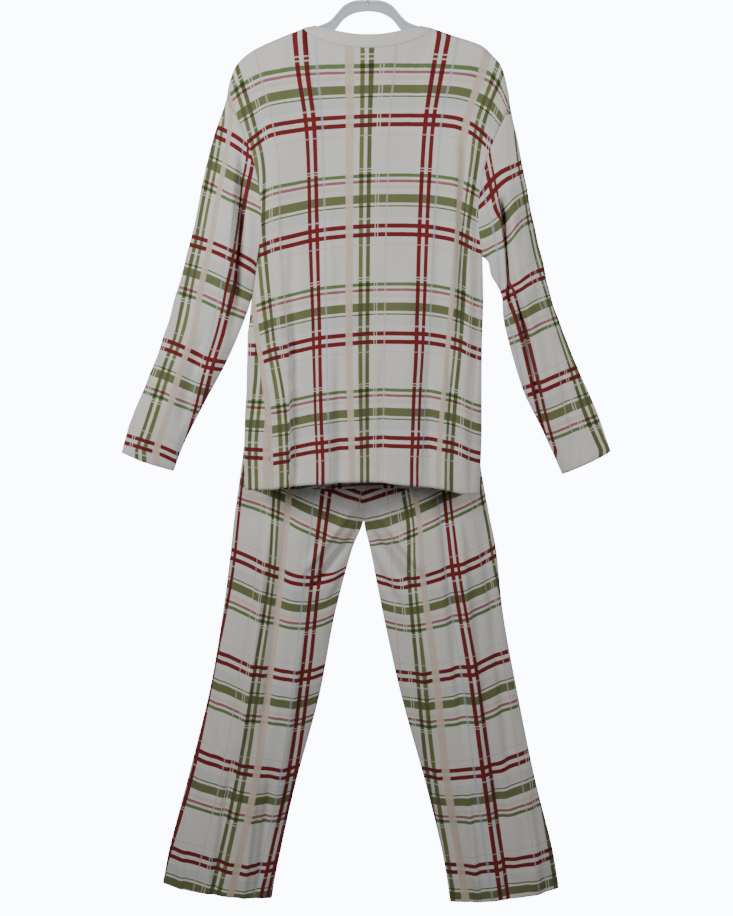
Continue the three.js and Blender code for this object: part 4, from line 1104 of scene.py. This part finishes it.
SEAMED = ["top", "left", "right"]
add_panel("top_back", back, -1, back_print(back), SEAMED)
add_panel("top_front", front, 1, front_print(front), SEAMED)
add_panel("sleeve_left", left_sleeve, -1, sleeve_print(
    left_sleeve, left_across, SLEEVE_LEFT_LINES, LINE_PLACE, SLEEVE_LEFT_PAIRS, SLEEVE_LEFT_DROOP,
    CREASE_LEFT), SEAMED)
add_panel("sleeve_right", right_sleeve, 1, sleeve_print(
    right_sleeve, right_across, SLEEVE_RIGHT_LINES, SLEEVE_RIGHT_PLACE, SLEEVE_RIGHT_PAIRS, SLEEVE_RIGHT_DROOP,
    CREASE_RIGHT), SEAMED)
for side, edges, folds, lines, places, pairs, droops in (
    ("left", LEG_LEFT, LEG_LEFT_FOLDS, LEG_LEFT_LINES, LINE_PLACE, LEG_LEFT_PAIRS, LEG_LEFT_DROOP),
    ("right", LEG_RIGHT, LEG_RIGHT_FOLDS, LEG_RIGHT_LINES, LEG_RIGHT_PLACE, LEG_RIGHT_PAIRS, LEG_RIGHT_DROOP),
):
    for face_name, face in (("back", -1), ("front", 1)):
        grid, across = leg_grid(edges, folds, face)
        turn = face if side == "left" else -face
        add_panel(f"trousers_{side}_{face_name}", grid, turn,
                  leg_print(grid, across, lines, places, pairs, droops, face), SEAMED)
band = neckband_grid(back, front)
add_panel("neckband", band, -1, np.zeros((*band.shape[:2], 2)), ["bottom"], False, BAND_THICKNESS, 0)
casing = waistband_grid()
round_waist = steps_along(casing, 1) / PLAID_ACROSS * 1.25
down_waist = steps_along(casing, 0) / PLAID_DOWN
add_panel("waistband", casing, -1, np.stack([round_waist, down_waist - 0.2], axis=-1), ["bottom"], False,
          BAND_THICKNESS, 0)
share_normals(panels.values())

for name, panel in panels.items():
    slots = [rib, rib] if name == "neckband" else [plaid_outside, plaid_inside]
    obj = cloth_shell(f"cloth_{name}", panel, slots)
    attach(obj, "root")
    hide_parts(name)

# Hanger: two sloping arms and an arch, a thick rim all round and a thin web between
ARCH_HALF = table("x top bottom", [
    (0, -70, -86), (20, -71, -89), (36, -78, -98), (47, -90, -111), (57, -100, -118), (72, -106.5, -124),
    (96, -115.2, -132), (140, -132.2, -149), (166, -145.2, -162),
])
HANGER_REACH = 180
HANGER_HALF_DEPTH = 3.5
HANGER_WEB = 1.1
ARM_END_DROP = 5
HOOK_RADIUS = 20
HOOK_WIRE = 3.6
ARCH_TOP = -70


def hanger_rings():
    """Upright slices of the hanger from one arm's end to the other. Each is a rounded bar whose
    middle is pressed in on both faces to leave a rim at its top and bottom."""
    swing = np.linspace(-np.pi / 2, np.pi / 2, 241)
    x = HANGER_REACH * np.sin(swing)
    top = read(ARCH_HALF, "x", "top", abs(x))
    bottom = read(ARCH_HALF, "x", "bottom", abs(x))
    last = ARCH_HALF["x"][-1]
    beyond = np.clip((abs(x) - last) / (HANGER_REACH - last), 0, 1)
    middle = (top + bottom) / 2 - ARM_END_DROP * beyond
    half = (top - bottom) / 2 * np.sqrt(1 - beyond**2 * 0.98)
    angle = (2 * np.pi * np.arange(40) / 40)[None, :]
    height = np.sign(np.sin(angle)) * abs(np.sin(angle)) ** 0.55
    pressed = smooth((0.62 - abs(height)) / 0.22) * (1 - beyond[:, None])
    depth = mix(HANGER_HALF_DEPTH, HANGER_WEB, pressed)
    across = np.sign(np.cos(angle)) * abs(np.cos(angle)) ** 0.4
    y = across * depth
    z = middle[:, None] + height * half[:, None]
    return np.stack([np.broadcast_to(x[:, None], y.shape), y, z], axis=-1)


def hook_path():
    """The hook's wire: up out of the arch, swung out and over the rail."""
    radius = HOOK_RADIUS + HOOK_WIRE / 2
    stem = table("x z", [(0, ARCH_TOP - 8), (0, ARCH_TOP), (0, ARCH_TOP + 7)])
    angle = np.radians(np.arange(-62, 201, 14))
    x = np.concatenate([stem["x"], radius * np.cos(angle)])
    z = np.concatenate([stem["z"], -HOOK_RADIUS + radius * np.sin(angle)])
    return spline(x, z, 12)


def spline(x, z, parts):
    """A smooth path through points in the plane of x and z."""
    place = np.arange(len(x), dtype=float)
    fine = np.arange((len(x) - 1) * parts + 1) / parts
    knots = {"place": place, "x": np.array(x, float), "z": np.array(z, float)}
    return np.stack([read(knots, "place", "x", fine), np.zeros(len(fine)), read(knots, "place", "z", fine)], axis=-1)


PIN_BENDS = table("x z", [
    (10, 3.25), (0, 3.25), (-9, 2.9), (-14, 1.3), (-14, -1.3), (-9, -2.9), (0, -3.25), (10, -3.25), (14, -2),
    (14, 1.6),
])
PIN_WIRE = 1.3
PIN_SPACING = 60

hanger = solid_of_rings("clear_hanger", hanger_rings(), [clear])
hook = solid_of_rings("steel_hook", tube(hook_path(), HOOK_WIRE / 2), [steel])
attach(hanger, "root")
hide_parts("hanger")
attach(hook, "root")
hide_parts("hanger_hook")
for name, side in (("pin_left", -1), ("pin_right", 1)):
    low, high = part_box(name)
    middle = np.array([CENTRE_SEAM_X + side * PIN_SPACING, (low.y + high.y) / 2 / MM,
                       WAIST_SEAM_Z + WAISTBAND_HEIGHT / 2])
    wire = spline(PIN_BENDS["x"], PIN_BENDS["z"], 10)
    pin = solid_of_rings(f"safety_{name}", tube(wire, PIN_WIRE / 2, 12) + middle, [steel])
    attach(pin, "root")
    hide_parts(name)

# Studio
FLOOR_Z = -1.62
FLOOR_HALF = 9.0
FLOOR_STEPS = 7

# Glow of the pale surroundings: as the camera sees it, through clear plastic, and on the cloth
GLOW_SEEN = (11, 11.6, 15, 1)
GLOW_THROUGH_PLASTIC = (0.62, 0.66, 0.7, 1)
GLOW_ON_CLOTH = (0.028, 0.028, 0.028, 1)


def surrounding_glow(tree):
    """The glow's colour: one colour to the camera, one through clear plastic, one to the cloth."""
    ray = add_node(tree, "ShaderNodeLightPath").outputs
    unseen = blend(tree, "MIX", ray["Is Transmission Ray"], GLOW_ON_CLOTH, GLOW_THROUGH_PLASTIC)
    return blend(tree, "MIX", ray["Is Camera Ray"], unseen, GLOW_SEEN)


def floor_sheet():
    """The floor: a flat square grid."""
    step = np.linspace(-FLOOR_HALF, FLOOR_HALF, FLOOR_STEPS)
    x, y = np.meshgrid(step, step)
    points = np.stack([x, y, np.full(x.shape, FLOOR_Z)], axis=-1).reshape(-1, 3)
    place = np.arange(len(points)).reshape(x.shape)
    quads = np.stack([place[:-1, :-1], place[:-1, 1:], place[1:, 1:], place[1:, :-1]], axis=-1)
    return finish_mesh("floor", points, quads.reshape(-1, 4), {}, [pale_floor])


pale_floor, floor_tree, floor_shader = plain_material(
    "pale_floor", Base_Color=paint(104, 104, 104), Roughness=1, Emission_Strength=1
)
floor_tree.links.new(surrounding_glow(floor_tree), floor_shader.inputs["Emission Color"])
floor_sheet()

world = bpy.data.worlds.new("studio")
world.use_nodes = True
surroundings = world.node_tree.nodes["Background"].inputs
world.node_tree.links.new(surrounding_glow(world.node_tree), surroundings["Color"])
surroundings["Strength"].default_value = 1
bpy.context.scene.world = world


def area_light(name, place, target, size, power):
    light = bpy.data.lights.new(name, "AREA")
    light.shape = "DISK"
    light.size = size
    light.energy = power
    obj = bpy.data.objects.new(name, light)
    obj.location = place
    way = np.array(target) - np.array(place)
    obj.rotation_euler = (
        math.atan2(math.hypot(way[0], way[1]), -way[2]), 0, math.atan2(-way[0], way[1])
    )
    obj.visible_camera = False
    bpy.context.scene.collection.objects.link(obj)


area_light("behind_left", (-1.2, 1.5, 0.1), (0, 0, -0.4), 1.2, 15)
area_light("behind_right", (1.2, 1.5, 0.1), (0, 0, -0.4), 1.2, 15)
area_light("key", (-1.15, -1.15, 0.02), (0, 0, -0.02), 1.0, 23)
area_light("fill", (1.25, -1.3, 0.02), (0, 0, -0.02), 1.2, 15.5)

camera_data = bpy.data.cameras.new("camera")
camera_data.lens = FOCAL_PIXELS * SENSOR / FRAME_HEIGHT
camera_data.sensor_width = SENSOR
camera = bpy.data.objects.new("camera", camera_data)
camera.location = (CAMERA_X, -CAMERA_DISTANCE, CAMERA_Z)
camera.rotation_euler = (math.radians(90 - CAMERA_PITCH_DEGREES), 0, 0)
bpy.context.scene.collection.objects.link(camera)
bpy.context.scene.camera = camera

bpy.context.view_layer.update()
